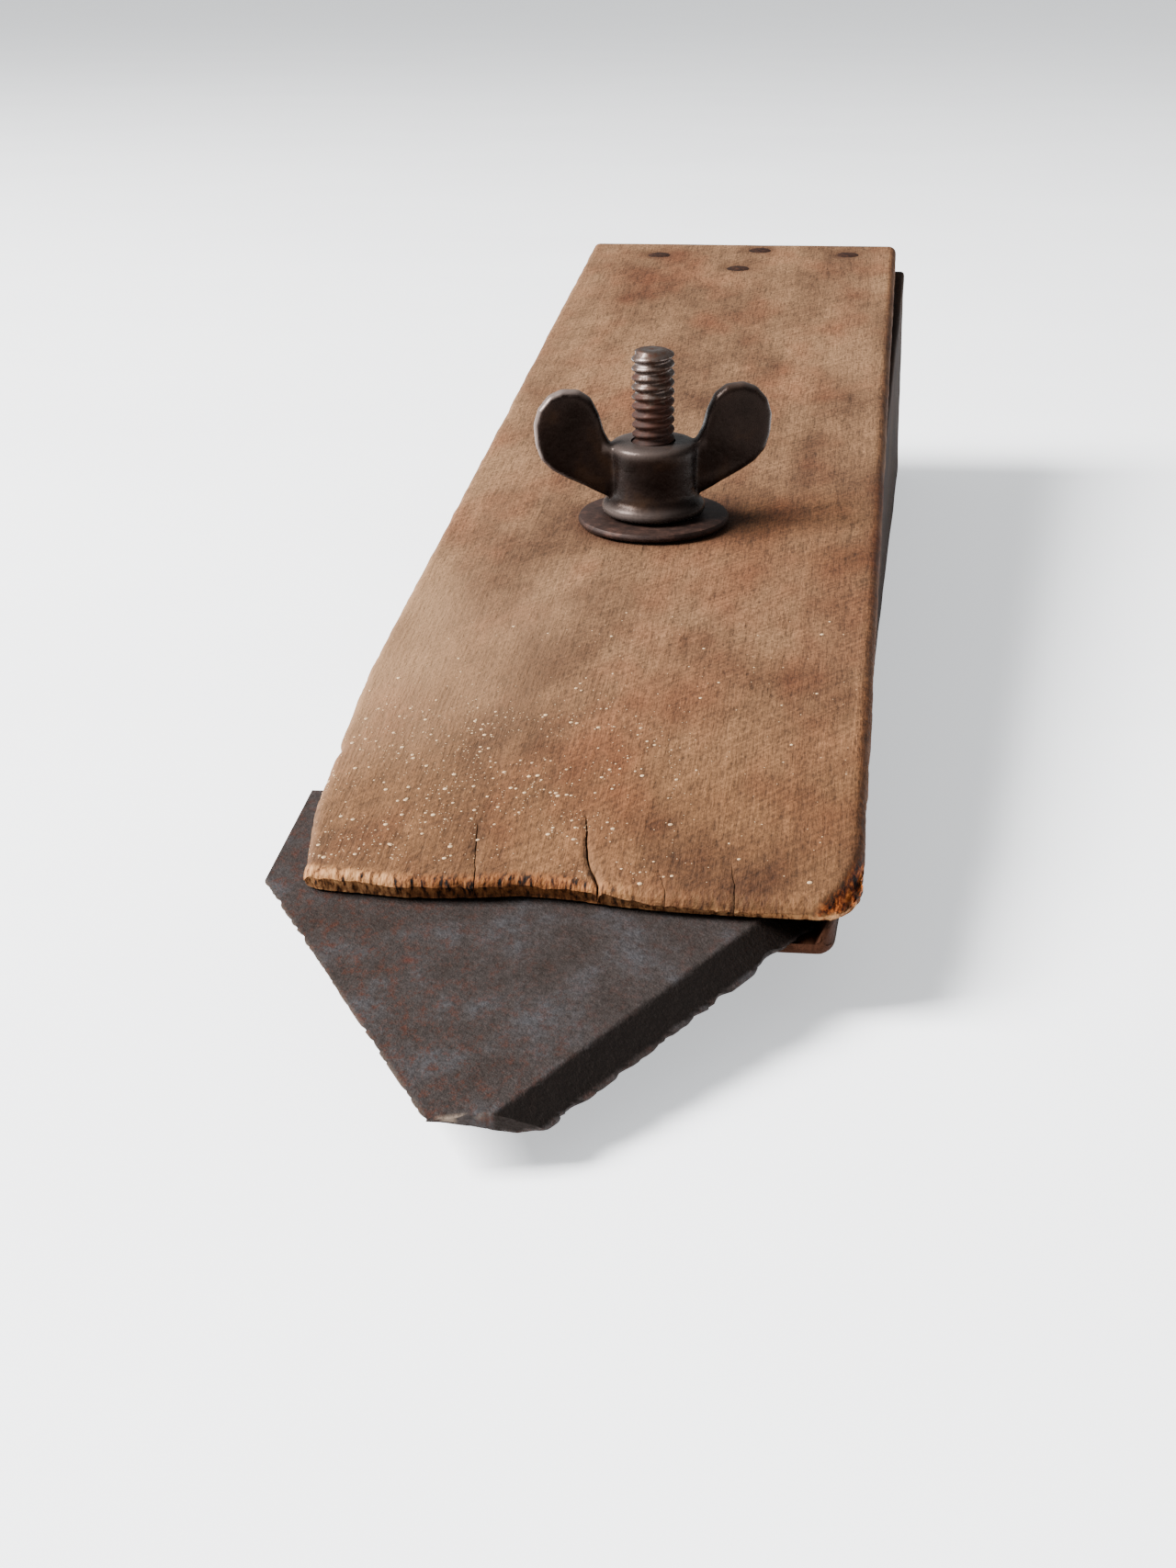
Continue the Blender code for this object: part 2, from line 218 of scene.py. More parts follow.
def slab(top, bottom, levels):
    """The points and faces of a closed sheet between two grids of points, its rim in several levels."""
    rows, columns = top.shape[:2]
    number = np.arange(rows * columns).reshape(rows, columns)
    edge = np.concatenate([number[0], number[1:, -1], number[-1, -2::-1], number[-2:0:-1, 0]])
    upper, lower = top.reshape(-1, 3), bottom.reshape(-1, 3)
    points, rims = [upper, lower], [edge]
    for level in range(1, levels):
        share = level / levels
        rims.append(2 * rows * columns + (level - 1) * len(edge) + np.arange(len(edge)))
        points.append((1 - share) * upper[edge] + share * lower[edge])
    rims.append(edge + rows * columns)
    quads = np.stack([number[:-1, :-1], number[:-1, 1:], number[1:, 1:], number[1:, :-1]], axis=-1)
    quads = quads.reshape(-1, 4)
    faces = [quads, quads[:, ::-1] + rows * columns]
    for high, low in zip(rims, rims[1:]):
        faces.append(np.stack([high, low, np.roll(low, -1), np.roll(high, -1)], axis=-1))
    return np.concatenate(points), np.concatenate(faces)


def solid(name, points, faces, frame, sharp=35):
    """A mesh in its place, from points in the millimetres of one of the frames."""
    mesh = bpy.data.meshes.new(name)
    mesh.from_pydata((np.asarray(points) * mm).tolist(), [], np.asarray(faces).tolist())
    mesh.transform(frame)
    mesh.update()
    return finished(mesh, sharp)


def finished(mesh, sharp=35):
    """A mesh shaded smooth, but sharp where its faces meet at more than an angle in degrees."""
    for polygon in mesh.polygons:
        polygon.use_smooth = True
    mesh.set_sharp_from_angle(angle=math.radians(sharp))
    return mesh


def local_points(mesh, frame):
    """Where a mesh's points are, in the millimetres of one of the frames."""
    points = np.empty(len(mesh.vertices) * 3)
    mesh.vertices.foreach_get("co", points)
    back = np.array(frame.inverted())
    return (points.reshape(-1, 3) @ back[:3, :3].T + back[:3, 3]) / mm


def stamp(mesh, name, values):
    """Keeps one number for each point of a mesh, for its material or its specks to read."""
    layer = mesh.attributes.new(name, "FLOAT", "POINT")
    layer.data.foreach_set("value", np.clip(values, 0, 1).astype(np.float32))


def evaluated(name, source):
    """The plain mesh that an object's modifiers make. The object itself is removed."""
    if not source.users_collection:
        bpy.context.scene.collection.objects.link(source)
    bpy.context.view_layer.update()
    graph = bpy.context.evaluated_depsgraph_get()
    mesh = bpy.data.meshes.new_from_object(source.evaluated_get(graph))
    bpy.data.objects.remove(source, do_unlink=True)
    mesh.name = name
    return mesh


def cut_away(mesh, shape):
    """The mesh less a shape. The shape is used up."""
    cutter_mesh = bpy.data.meshes.new("cutter")
    shape.to_mesh(cutter_mesh)
    shape.free()
    cutter = show("cutter", cutter_mesh)
    source = bpy.data.objects.new("uncut", mesh)
    cut = source.modifiers.new("cut", "BOOLEAN")
    cut.operation = "DIFFERENCE"
    cut.solver = "EXACT"
    cut.object = cutter
    made = evaluated(mesh.name, source)
    bpy.data.objects.remove(cutter, do_unlink=True)
    return made


def face_outward(mesh):
    """Turns a closed mesh's faces so that all of them look outward."""
    shape = bmesh.new()
    shape.from_mesh(mesh)
    bmesh.ops.recalc_face_normals(shape, faces=shape.faces)
    shape.to_mesh(mesh)
    shape.free()


def bored(mesh, frame, bores, sharp=35):
    """A mesh with round holes cut in it: each is across, along, low, high and radius in millimetres."""
    holes = bmesh.new()
    # The turn keeps the holes' facets off the lines of the grid that they cut.
    facet_turn = Matrix.Rotation(math.radians(6.4), 4, "Z")
    for across, forward, low, high, radius in bores:
        middle = Matrix.Translation(Vector((across, forward, (low + high) / 2)) * mm) @ facet_turn
        size = {"radius1": radius * mm, "radius2": radius * mm, "depth": (high - low) * mm}
        bmesh.ops.create_cone(holes, cap_ends=True, segments=40, matrix=frame @ middle, **size)
    made = cut_away(mesh, holes)
    face_outward(made)
    return finished(made, sharp)


body_front, body_rear, body_half, front_height = -160.5, 160.5, 31.75, 10.8
bed_rise = math.tan(bed_tilt)
recess_back, recess_depth, recess_wall = -128.1, 2.72, 29.5
nose_relief, nose_length = 7.3, 50
wall_top_front, wall_top_rear = 31.25, 29.6
arris_spacing = np.array([0, 0.04, 0.15, 0.35, 0.65])

# Close rows at the front, which shows, and wider ones behind it.
forward = np.concatenate(
    [
        eased(body_front, body_front + 46, 52, 1.0)[:-6],
        np.arange(-115, 155, 2.2),
        [recess_back, recess_back + 0.08],
        eased(150, body_rear, 7, 1.3)[6:],
    ]
)
forward = np.unique(np.round(forward, 4))
behind = forward - body_front
side_wave = 0.22 * along(forward, 28, 1) - 0.25
left_side = -body_half + np.maximum(0, 6.5 * (1 - behind / 12)) - side_wave
right_side = body_half + side_wave - 1.2 * np.exp(-behind / 1.2)
# The recess's right wall is worn to a slope that is widest at the nose.
wall_slope = np.clip((behind - 1) / 13, 0, 1)
wall_top = wall_top_front - (wall_top_front - wall_top_rear) * wall_slope
wall_top = np.where(behind < 14, wall_top, wall_top_rear)
wall_foot = np.minimum(np.where(behind < 3.2, 29.32 + 0.05 * behind, recess_wall), wall_top - 0.15)
wall_top = np.minimum(wall_top, right_side - 0.45)

across = []
for left, foot, top_edge, right in zip(left_side, wall_foot, wall_top, right_side):
    left_part = left + 1.2 * arris_spacing
    floor_part = np.linspace(left + 1.2, foot, 44)
    wall_part = np.linspace(foot, top_edge, 5)[1:]
    right_part = top_edge + (right - top_edge) * np.array([0.25, 0.5, 0.7, 0.85, 0.94, 1.0])
    across.append(np.concatenate([left_part, floor_part, wall_part, right_part]))
across = np.array(across)
ahead = np.repeat(forward[:, None], across.shape[1], axis=1)
from_front, from_rear = ahead - body_front, body_rear - ahead
from_left, from_right = across - left_side[:, None], right_side[:, None] - across

bed_height = front_height + from_front * bed_rise
climb = np.clip((across - wall_foot[:, None]) / (wall_top - wall_foot)[:, None], 0, 1)
sunk = recess_depth * (1 - climb) * (ahead <= recess_back)
worn = 0.9 + 0.5 * along(forward, 17, 2)[:, None]
front_worn = 0.65 + 1.3 * climb
height = bed_height - sunk - fall(from_left, worn) - fall(from_right, np.minimum(worn, 0.8))
height -= fall(from_front, front_worn) + fall(from_rear, 1.3)
flat = np.column_stack([across.ravel(), ahead.ravel(), np.zeros(across.size)])
height -= 0.05 + 0.05 * wander(flat, (9, 60, 1), 3).reshape(across.shape)
sole = np.maximum(0, nose_relief * (1 - from_front / nose_length))
sole = sole + fall(from_left, 1.0) + fall(from_right, 1.0) + fall(from_front, 0.6) + fall(from_rear, 1.2)
height = np.maximum(height, sole + 0.6)
points, faces = slab(np.stack([across, ahead, height], axis=-1), np.stack([across, ahead, sole], axis=-1), 12)
rim = slice(2 * across.size, None)
grain_relief = wander(points[rim], (400, 70, 2.2), 4) + 0.6 * wander(points[rim], (400, 9, 0.9), 5)
inward = np.sign(points[rim, 0]) * (np.abs(points[rim, 0]) > 20)
points[rim, 0] -= inward * (0.10 + 0.08 * grain_relief)
body_mesh = solid("body_block", points, faces, level_frame)

nail_places = ((-16.15, 187.89), (4.95, 193.39), (23.85, 189.89), (1.45, 175.59))
bolt_hole, counterbore = (0, 0, -45, 9, 3.7), (0, 0, -45, -16.9, 7.3)
body_mesh = bored(body_mesh, bed_frame, [bolt_hole, counterbore])


def turned_to(tree, frame, sizes):
    """Coordinates that run with a frame, where one unit is the real size given on each axis."""
    settings = {"vector_type": "TEXTURE"}
    sockets = {
        "Vector": (add(tree, "ShaderNodeTexCoord"), "Object"),
        "Location": frame.translation,
        "Rotation": frame.to_euler(),
        "Scale": tuple(size * mm for size in sizes),
    }
    return add(tree, "ShaderNodeMapping", settings, sockets)


def speckled(tree, frame, sizes, detail=3.0, roughness=0.55):
    """Noise in lumps of the real sizes given, in millimetres."""
    sockets = {
        "Vector": turned_to(tree, frame, sizes),
        "Scale": 1.0,
        "Detail": detail,
        "Roughness": roughness,
    }
    return add(tree, "ShaderNodeTexNoise", sockets=sockets)


def layered(tree, tone, layers):
    """A tone with layers laid over it in turn. Each says how it blends, how much of it shows, which
    is a number, an output or the name of a number that the mesh keeps, and its colour, which is an
    output or an sRGB hex value."""
    for how, share, colour in layers:
        if isinstance(share, str):
            share = (add(tree, "ShaderNodeAttribute", {"attribute_name": share}), "Fac")
        if isinstance(colour, str):
            colour = linear(colour)
        settings = {"data_type": "RGBA", "blend_type": how, "clamp_factor": True}
        tone = add(
            tree,
            "ShaderNodeMix",
            settings,
            {"Factor_Float": share, "A_Color": tone, "B_Color": colour},
        )
    return tone


map_range, ramp, maths = "ShaderNodeMapRange", "ShaderNodeValToRGB", "ShaderNodeMath"


def old_wood(name, frame, pale, dark, red):
    """Old open-pored hardwood, rough from the saw and weather: dull, streaked along its grain, with
    short dark pores. Returns the material, its tree, shader, colour and the heights of its bumps."""
    made, tree, shader = finish_named(name, 0.85)
    join(tree, shader, {"Specular IOR Level": 0.12})
    clouds = speckled(tree, frame, (15, 34, 15), 4.0, 0.6)
    streaks = speckled(tree, frame, (1.3, 55, 3.5), 4.0)
    pores = speckled(tree, frame, (0.32, 3.4, 0.5), 2.0)
    dust = speckled(tree, frame, (0.55, 0.8, 0.6), 3.0, 0.7)
    warm = speckled(tree, frame, (11, 26, 11), 2.0)
    tone = add(tree, ramp, sockets={"Fac": clouds}, stops=((0.34, dark), (0.62, pale)))
    warmth = add(tree, map_range, sockets={"Value": warm, 1: 0.48, 2: 0.72, 3: 0.0, 4: 0.45})
    streak = add(tree, map_range, sockets={"Value": streaks, 1: 0.25, 2: 0.75, 3: 0.82, 4: 1.17})
    pore = add(tree, map_range, sockets={"Value": pores, 1: 0.34, 2: 0.46, 3: 0.5, 4: 1.0})
    dusty = add(tree, map_range, sockets={"Value": dust, 1: 0.3, 2: 0.7, 3: 0.62, 4: 1.38})
    layers = (
        ("MIX", warmth, red),
        ("MULTIPLY", 1.0, streak),
        ("MULTIPLY", 0.75, pore),
        ("MULTIPLY", 1.0, dusty),
    )
    return made, tree, shader, layered(tree, tone, layers), (streaks, pores, dust)


def roughened(tree, shader, heights):
    """A chain of bumps, each with the real height of its relief in millimetres."""
    normal = None
    for height, depth in heights:
        sockets = {"Height": height, "Distance": depth * mm, "Strength": 1.0}
        if normal:
            sockets["Normal"] = normal
        normal = add(tree, "ShaderNodeBump", sockets=sockets)
    join(tree, shader, {"Normal": normal})


# Hardwood, greyer and darker than the board above it: the darkness is painted shade, as the body's front
# corner lies in shade under the board.
body_wood, tree, shader, tone, (streaks, pores, dust) = old_wood(
    "handled_hardwood", level_frame, "#332013", "#1f110a", "#2b150a"
)
tone = layered(tree, tone, [("MIX", "hollow", "#341a0c")])
join(tree, shader, {"Base Color": tone})
roughened(tree, shader, ((streaks, 0.22), (pores, 0.10), (dust, 0.08)))

x, y, z = local_points(body_mesh, level_frame).T
under_bed = front_height + (y - body_front) * bed_rise - z
in_recess = (y < recess_back + 0.1) & (under_bed > 0.7) & (under_bed < 3.6) & (x < 31.4)
stamp(body_mesh, "hollow", 0.8 * in_recess)
body_mesh.materials.append(body_wood)
body = show("body_block", body_mesh)
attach(body, "stock")
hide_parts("body")

# ---- Iron ----------------------------------------------------------------------------------
# The cutter: a piece of flat bar forged and ground to a blunt point, ground on top along its
# right skew edge and underneath along its left one. It has no hole: the cap board pinches it.

iron_thick, bevel_wide, under_bevel_wide = 2.4, 4.0, 8.5
left_corner, left_tip = np.array([-33.16, -118.38]), np.array([-6.16, -169.38])
right_corner, right_tip = np.array([28.84, -120.88]), np.array([5.34, -166.18])
iron_rear = -92.38


def inside_line(x, y, start, end):
    """The distance of points to the left of a line, looking from its start to its end."""
    run = (end - start) / np.hypot(*(end - start))
    return (y - start[1]) * run[0] - (x - start[0]) * run[1]


forward = np.concatenate(
    [
        left_tip[1] + np.array([0, 0.12, 0.3, 0.55]),
        np.arange(left_tip[1] + 0.9, -117, 0.42),
        np.arange(-116.5, -92.6, 1.3),
        [iron_rear],
    ]
)
# The blunt tip isn't square: its right end stands back.
cut_back = 3.2 * np.clip(1 - (forward - left_tip[1]) / 13, 0, 1)
forward_right = forward + cut_back
left_edge = np.interp(forward, [left_tip[1], left_corner[1]], [left_tip[0], left_corner[0]])
right_edge = np.interp(forward_right, [right_tip[1], right_corner[1]], [right_tip[0], right_corner[0]])
skew_left, skew_right = forward < left_corner[1], forward_right < right_corner[1]
left_nicks = 0.55 * np.maximum(0, along(forward, 2.3, 11))
left_nicks += 0.55 * np.maximum(0, along(forward, 0.8, 12) - 0.1)
right_nicks = 1.5 * np.maximum(0, along(forward, 3.6, 13) - 0.05)
right_nicks += 0.6 * np.maximum(0, along(forward, 1.0, 14) - 0.1)
left_edge = left_edge + np.where(skew_left, 0.08 + left_nicks, 0.12)
right_edge = right_edge - np.where(skew_right, 0.08 + right_nicks, 0.12)
left_inner = left_edge + np.clip(4.7 - 0.3 * (forward - left_corner[1]).clip(0), 0.4, 4.7)
right_inner = right_edge - np.clip(4.5 - 0.6 * (forward_right - right_corner[1]).clip(0), 0.4, 4.5)
left_share = np.linspace(0, 1, 9)[:-1]
middle_share = np.linspace(0, 1, 70)[:-1]
right_share = np.linspace(0, 1, 12)
across = np.concatenate(
    [
        left_edge[:, None] + (left_inner - left_edge)[:, None] * left_share,
        left_inner[:, None] + (right_inner - left_inner)[:, None] * middle_share,
        right_inner[:, None] + (right_edge - right_inner)[:, None] * right_share,
    ],
    axis=1,
)
share = (across - left_edge[:, None]) / (right_edge - left_edge)[:, None]
ahead = forward[:, None] + cut_back[:, None] * share
flat = np.column_stack([across.ravel(), ahead.ravel(), np.zeros(across.size)])
tip_nicks = 0.3 * np.maximum(0, along(across, 1.6, 15)) + 0.25 * np.maximum(0, along(across, 0.7, 16))
ahead = ahead + tip_nicks * np.exp(-(forward[:, None] - left_tip[1]) / 0.9)
from_right = inside_line(across, ahead, right_tip, right_corner)
from_left = inside_line(across, ahead, left_corner, left_tip)
pitted = wander(flat, (2.6, 2.6, 1), 17) + 0.6 * wander(flat, (0.9, 0.9, 1), 18)
pitted = pitted.reshape(across.shape)
face = -0.03 - 0.035 * np.abs(pitted)
face = face - iron_thick * np.clip(1 - from_right / bevel_wide, 0, 1) * (1 + 0.015 * pitted)
tip_wear = np.exp(-((across + 3.2) ** 2) / 9) * np.clip(1 - (ahead - left_tip[1] - 0.3) / 1.6, 0, 1)
face = face - 0.3 * tip_wear * (0.6 + 0.4 * along(across, 0.8, 19))
back = -iron_thick + iron_thick * np.clip(1 - from_left / under_bevel_wide, 0, 1)
back = np.maximum(back, -iron_thick + 0.02)
face = np.maximum(face, -iron_thick + 0.14)
back = np.minimum(back, face - 0.12)
points, faces = slab(np.stack([across, ahead, face], axis=-1), np.stack([across, ahead, back], axis=-1), 4)
iron_mesh = solid("iron_blade", points, faces, clamp_frame, 28)

# Forged and ground tool steel under an old brown-grey patina, with red rust in its pits and bare
# bright metal where the tip is chipped. Its top bevel is painted dark as shade, since it faces away
# from the lamp, and a painted highlight runs along its left edge. The patina is dull, so it shines only
# softly.
iron_steel, tree, shader = finish_named("patinated_tool_steel", 0.6, 0.15)
clouds = speckled(tree, clamp_frame, (7, 11, 8), 4.0, 0.65)
pits = speckled(tree, clamp_frame, (0.9, 0.9, 0.9), 5.0, 0.75)
rust_places = speckled(tree, clamp_frame, (1.5, 2.6, 2.0), 6.0, 0.85)
grit = speckled(tree, clamp_frame, (0.45, 0.45, 0.45), 2.0, 0.7)
tone = add(
    tree,
    ramp,
    sockets={"Fac": clouds},
    stops=((0.3, "#1b1614"), (0.5, "#24201f"), (0.68, "#2c2c2e")),
)
pitting = add(tree, map_range, sockets={"Value": pits, 1: 0.32, 2: 0.68, 3: 0.4, 4: 1.55})
rusty = add(tree, map_range, sockets={"Value": rust_places, 1: 0.50, 2: 0.62, 3: 0.0, 4: 0.75})
rust_share = add(tree, "ShaderNodeAttribute", {"attribute_name": "rust_share"})
rusty = add(tree, maths, {"operation": "MULTIPLY"}, {0: rusty, 1: (rust_share, "Fac")})
# The bevel's darkening is painted shade.
layers = (
    ("MULTIPLY", 1.0, pitting),
    ("MIX", rusty, "#36190f"),
    ("MULTIPLY", "bevel", "#40322b"),
    ("MIX", "spot", "#3a160c"),
    ("MIX", "bare", "#6b5d51"),
)
tone = layered(tree, tone, layers)
dulled = add(tree, map_range, sockets={"Value": pits, 1: 0.3, 2: 0.7, 3: 0.75, 4: 0.52})
join(tree, shader, {"Base Color": tone, "Roughness": dulled})
join(tree, shader, {"Specular IOR Level": 0.25, "Specular Tint": linear("#f0d8cc")})
roughened(tree, shader, ((clouds, 0.35), (pits, 0.16), (grit, 0.06)))

x, y, z = local_points(iron_mesh, clamp_frame).T
on_top = z > -iron_thick + 0.3
line_distance = inside_line(x, y, right_tip, right_corner)
# Painted shade: the top bevel is darkened, as it faces away from the lamp.
stamp(iron_mesh, "bevel", on_top * np.clip((bevel_wide - line_distance) / 0.3, 0, 1))
edge_distance = inside_line(x, y, left_corner, left_tip)
spots = np.column_stack([x, y, z])
# Chips at the tip, a painted highlight along the left edge, and one spot of rust.
end_distance = y - left_tip[1] - 0.28 * (x - left_tip[0])
chips = np.exp(-((x + 3.6) ** 2) / 4.5) * np.clip(1.1 - end_distance / 0.7, 0, 1) * on_top
chips = chips * (wander(spots, (1.3, 0.7, 3), 20) > -0.12) * (z > -0.5)
# A painted highlight along the left edge.
rim_light = 0.35 * np.clip(1 - edge_distance / 0.3, 0, 1) * on_top
stamp(iron_mesh, "bare", np.maximum(chips, rim_light))
stamp(iron_mesh, "spot", 0.8 * np.exp(-(((x + 13.4) / 0.7) ** 2 + ((y + 136.5) / 0.6) ** 2)))
stamp(iron_mesh, "rust_share", np.clip(1.1 - edge_distance / 30, 0.3, 1))
iron_mesh.materials.append(iron_steel)
iron = show("iron_blade", iron_mesh)
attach(iron, "iron")
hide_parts("iron")

# ---- Cap board -----------------------------------------------------------------------------
# A thin sawn board of the same wood, nailed on at the rear and thinned towards the front. Its
# front edge is bare end grain, worn ragged, with drying cracks that run back from it, and its
# right front corner has splintered off.

board_low, board_rear, board_front = 0.3, 198.40, -125.08
board_left, board_right = -31.35, 34.0
front_line = np.array(
    [
        (-29.0, -119.6), (-28.0, -120.8), (-26.4, -121.7), (-24.6, -122.0), (-20.3, -122.5), (-16.1, -123.1),
        (-12.0, -122.9), (-8.1, -122.4), (-4.1, -121.6), (0.0, -121.8), (4.2, -122.6), (8.3, -123.5),
        (12.4, -124.1), (18.0, -124.5), (24.3, -124.7), (28.3, -124.9), (30.6, -124.9), (32.2, -123.4),
        (33.4, -120.6),
    ]
)
left_line = np.array(
    [
        (-28.2, -121.1), (-29.4, -110.8), (-30.2, -103.5), (-30.5, -92.1), (-31.0, -79.9),
        (board_left, -66.0), (board_left, 199.0),
    ]
)
# Where the right front corner broke off: how far across its edge lies at places along the board.
broken_rear = -110.5
broken_edge = ([-125.1, -123.5, -120.6, -115.2, broken_rear], [28.6, 30.1, 31.3, 32.7, board_right])
# Each crack has places along and across, where it ends, and its half width and depth at the edge.
cracks = (
    {"line": ((-124, -8.6), (-119, -9.1), (-109, -10.2)), "end": -108.5, "wide": 0.07, "deep": 0.9},
    {"line": ((-124, 5.1), (-118, 3.7), (-113, 2.9), (-104, 2.0)), "end": -105.5, "wide": 0.13, "deep": 2.0},
    {"line": ((-124, 12.6), (-122, 12.1), (-118.5, 11.7)), "end": -119, "wide": 0.05, "deep": 0.5},
    {"line": ((-125, 20.2), (-122, 20.1), (-116.5, 19.6)), "end": -117, "wide": 0.06, "deep": 0.6},
)

forward = np.concatenate(
    [
        board_front + np.array([0, 0.10, 0.24, 0.42, 0.65, 0.95, 1.3]),
        np.arange(board_front + 1.7, board_front + 28, 0.5),
        np.arange(board_front + 29, board_front + 90, 1.1),
        np.arange(board_front + 91.5, board_rear - 2, 2.0),
        board_rear - np.array([1.0, 0.65, 0.35, 0.15, 0.04, 0.0]),
    ]
)
left_edge = np.interp(forward, left_line[:, 1], left_line[:, 0])
left_edge += 0.05 + 0.22 * np.abs(along(forward, 9, 21))
left_edge += 0.5 * np.exp(-(((forward + 88.5) / 1.6) ** 2)) + 0.16 * np.abs(along(forward, 2.2, 22))
right_edge = 34.05 - 0.3 * np.abs(along(forward, 14, 23)) - 0.12 * np.abs(along(forward, 2.0, 24))
corner = forward - board_front
right_edge -= 0.9 * np.clip(1 - corner / 4.5, 0, 1) + 0.5 * (corner < 9) * np.abs(along(forward, 1.3, 25))

spread = list(np.arange(-29.6, 32.2, 0.46))
for crack in cracks:
    middle = crack["line"][0][1]
    near = crack["wide"] + 0.24
    spread = [u for u in spread if abs(u - middle) > near + 0.12]
    sides = (-1.0, -0.4, 0.4, 1.0)
    spread += [middle + side * crack["wide"] for side in sides] + [middle]
spread = np.array(sorted(spread))
arris = np.array([0.0, 0.05, 0.17, 0.37, 0.65, 1.0])
base = np.concatenate([board_left + 1.3 * arris, spread, board_right - 1.4 * arris[::-1]])
pull_left = np.clip(1 - (base - board_left) / 10, 0, 1) ** 1.5
pull_right = np.clip(1 - (board_right - base) / 6, 0, 1) ** 1.5
across = base + (left_edge - board_left)[:, None] * pull_left
across += (right_edge - board_right)[:, None] * pull_right
groove = np.zeros(across.shape)


def drawn_aside(start, y):
    """How far the cracks draw the board's fibres aside, for fibres that start at a place across."""
    total = 0.0
    for crack in cracks:
        line = np.array(crack["line"])
        shift = np.interp(y, line[:, 0], line[:, 1]) - line[0][1] + 0.10 * along(y, 2.4, 26)
        total = total + shift * np.exp(-(((start - line[0][1]) / 5.5) ** 2))
    return total


across = across + drawn_aside(base[None, :], np.repeat(forward[:, None], len(base), axis=1))
for crack in cracks:
    gap = base - crack["line"][0][1]
    opening = np.clip((crack["end"] - forward) / (crack["end"] - board_front), 0, 1) ** 0.6
    shape = np.clip(1.2 - np.abs(gap) / crack["wide"], 0, 1) * (np.abs(gap) < crack["wide"] * 1.1)
    groove = np.maximum(groove, opening[:, None] * shape * crack["deep"])

front_edge = np.interp(across[0], front_line[:, 0], front_line[:, 1])
fibres = 0.30 * along(across[0], 0.9, 27) + 0.16 * along(across[0], 0.42, 28)
front_edge = front_edge + 0.12 + np.maximum(0, fibres)
ease_back = np.clip(1 - (forward - board_front) / 24, 0, 1) ** 2
ahead = forward[:, None] + (front_edge - board_front)[None, :] * ease_back[:, None]
flat = np.column_stack([across.ravel(), ahead.ravel(), np.zeros(across.size)])


def over_board(sizes, seed):
    """Noise over the board's grid."""
    return wander(flat, (*sizes, 1), seed).reshape(across.shape)


from_front = ahead - front_edge[None, :]
from_left, from_right = across - left_edge[:, None], right_edge[:, None] - across
taper = 2.4 * np.clip(1 - (ahead - board_front) / 62, 0, 1)
top = 5.27 - taper - 0.04 * np.abs(over_board((12, 40), 29)) - 0.03 * np.abs(over_board((0.8, 9), 30))
front_round = 0.95 + 0.35 * along(across, 3.5, 31) + 0.7 * np.clip((across - 5) / 8, 0, 1)
ragged = 0.34 * np.maximum(0, over_board((0.75, 1.6), 32)) * np.clip(1 - from_front / 2.6, 0, 1)
top -= fall(from_front, front_round) * 0.95 + ragged
top -= fall(from_left, 1.3 + 0.2 * over_board((6, 6), 33)) + 1.1 * fall(from_right, 1.5)
top -= fall(board_rear - ahead, 1.0) + groove
broken = np.clip((across - np.interp(ahead, *broken_edge)) / 1.1, 0, 1) * (ahead < broken_rear)
splinters = 0.5 + 0.9 * over_board((0.5, 3.2), 34) + 0.4 * over_board((0.3, 1.2), 35)
top -= broken * np.clip(1.1 + splinters, 0.2, 2.4) * 0.8
nail_dents = np.zeros(across.shape)
for nail_across, nail_ahead in nail_places:
    away = np.hypot(across - nail_across, ahead - nail_ahead)
    nail_dents = np.maximum(nail_dents, np.exp(-((away / 3.6) ** 4)))
top -= 0.42 * nail_dents
low = board_low + 0.05 * np.abs(over_board((9, 30), 36))
low += 0.7 * fall(from_left, 0.6) + 0.7 * fall(from_right, 0.6)
# The front edge leans back towards its foot.
low_ahead = ahead + 0.9 * np.clip(1 - from_front / 5, 0, 1)
top = np.maximum(top, low + 0.8)
points, faces = slab(np.stack([across, ahead, top], axis=-1), np.stack([across, low_ahead, low], axis=-1), 8)

rim = slice(2 * across.size, None)
x, y, z = points[rim].T
at_front = (y < np.interp(x, front_line[:, 0], front_line[:, 1]) + 1.6) & (np.abs(x + 0.5) < 28.6)
slots = wander(points[rim], (0.62, 900, 2.6), 37)
slotted = np.clip((x + 20) / 5, 0.3, 1) * np.clip((11 - x) / 8, 0.3, 1)
points[rim, 1] += at_front * (0.7 * slotted * np.maximum(0, slots - 0.1) + 0.1)
side_relief = wander(points[rim], (900, 14, 1.1), 38)
points[rim, 0] -= np.sign(x) * (y > -108) * (0.06 + 0.06 * side_relief)
cap_mesh = solid("cap_board_top", points, faces, clamp_frame, 50)
holes = [(0, 0, -2, 8, 3.75)] + [(u, v, -2, 8, 1.55) for u, v in nail_places]
cap_mesh = bored(cap_mesh, clamp_frame, holes, 50)

x, y, z = local_points(cap_mesh, clamp_frame).T
spots = np.column_stack([x, y, z])
edge_here = np.interp(x, front_line[:, 0], front_line[:, 1])
upper = z > 1.2
# End grain shows over the front edge, and less over the top of it towards the right.
reach = 1.5 + 0.9 * wander(spots, (0.8, 30, 30), 39)
end_grain = np.clip(1 - (y - edge_here - 0.5) / reach, 0, 1)
end_grain *= 1 - 0.85 * np.clip((x - 4) / 6, 0, 1) * np.clip((z - 0.9) / 0.5, 0, 1)
stamp(cap_mesh, "end_grain", end_grain)
# The end grain is darker in the middle of the front edge.
stamp(cap_mesh, "sooty_end", np.clip((x + 19) / 5, 0, 1) * np.clip((10 - x) / 8, 0.15, 1))
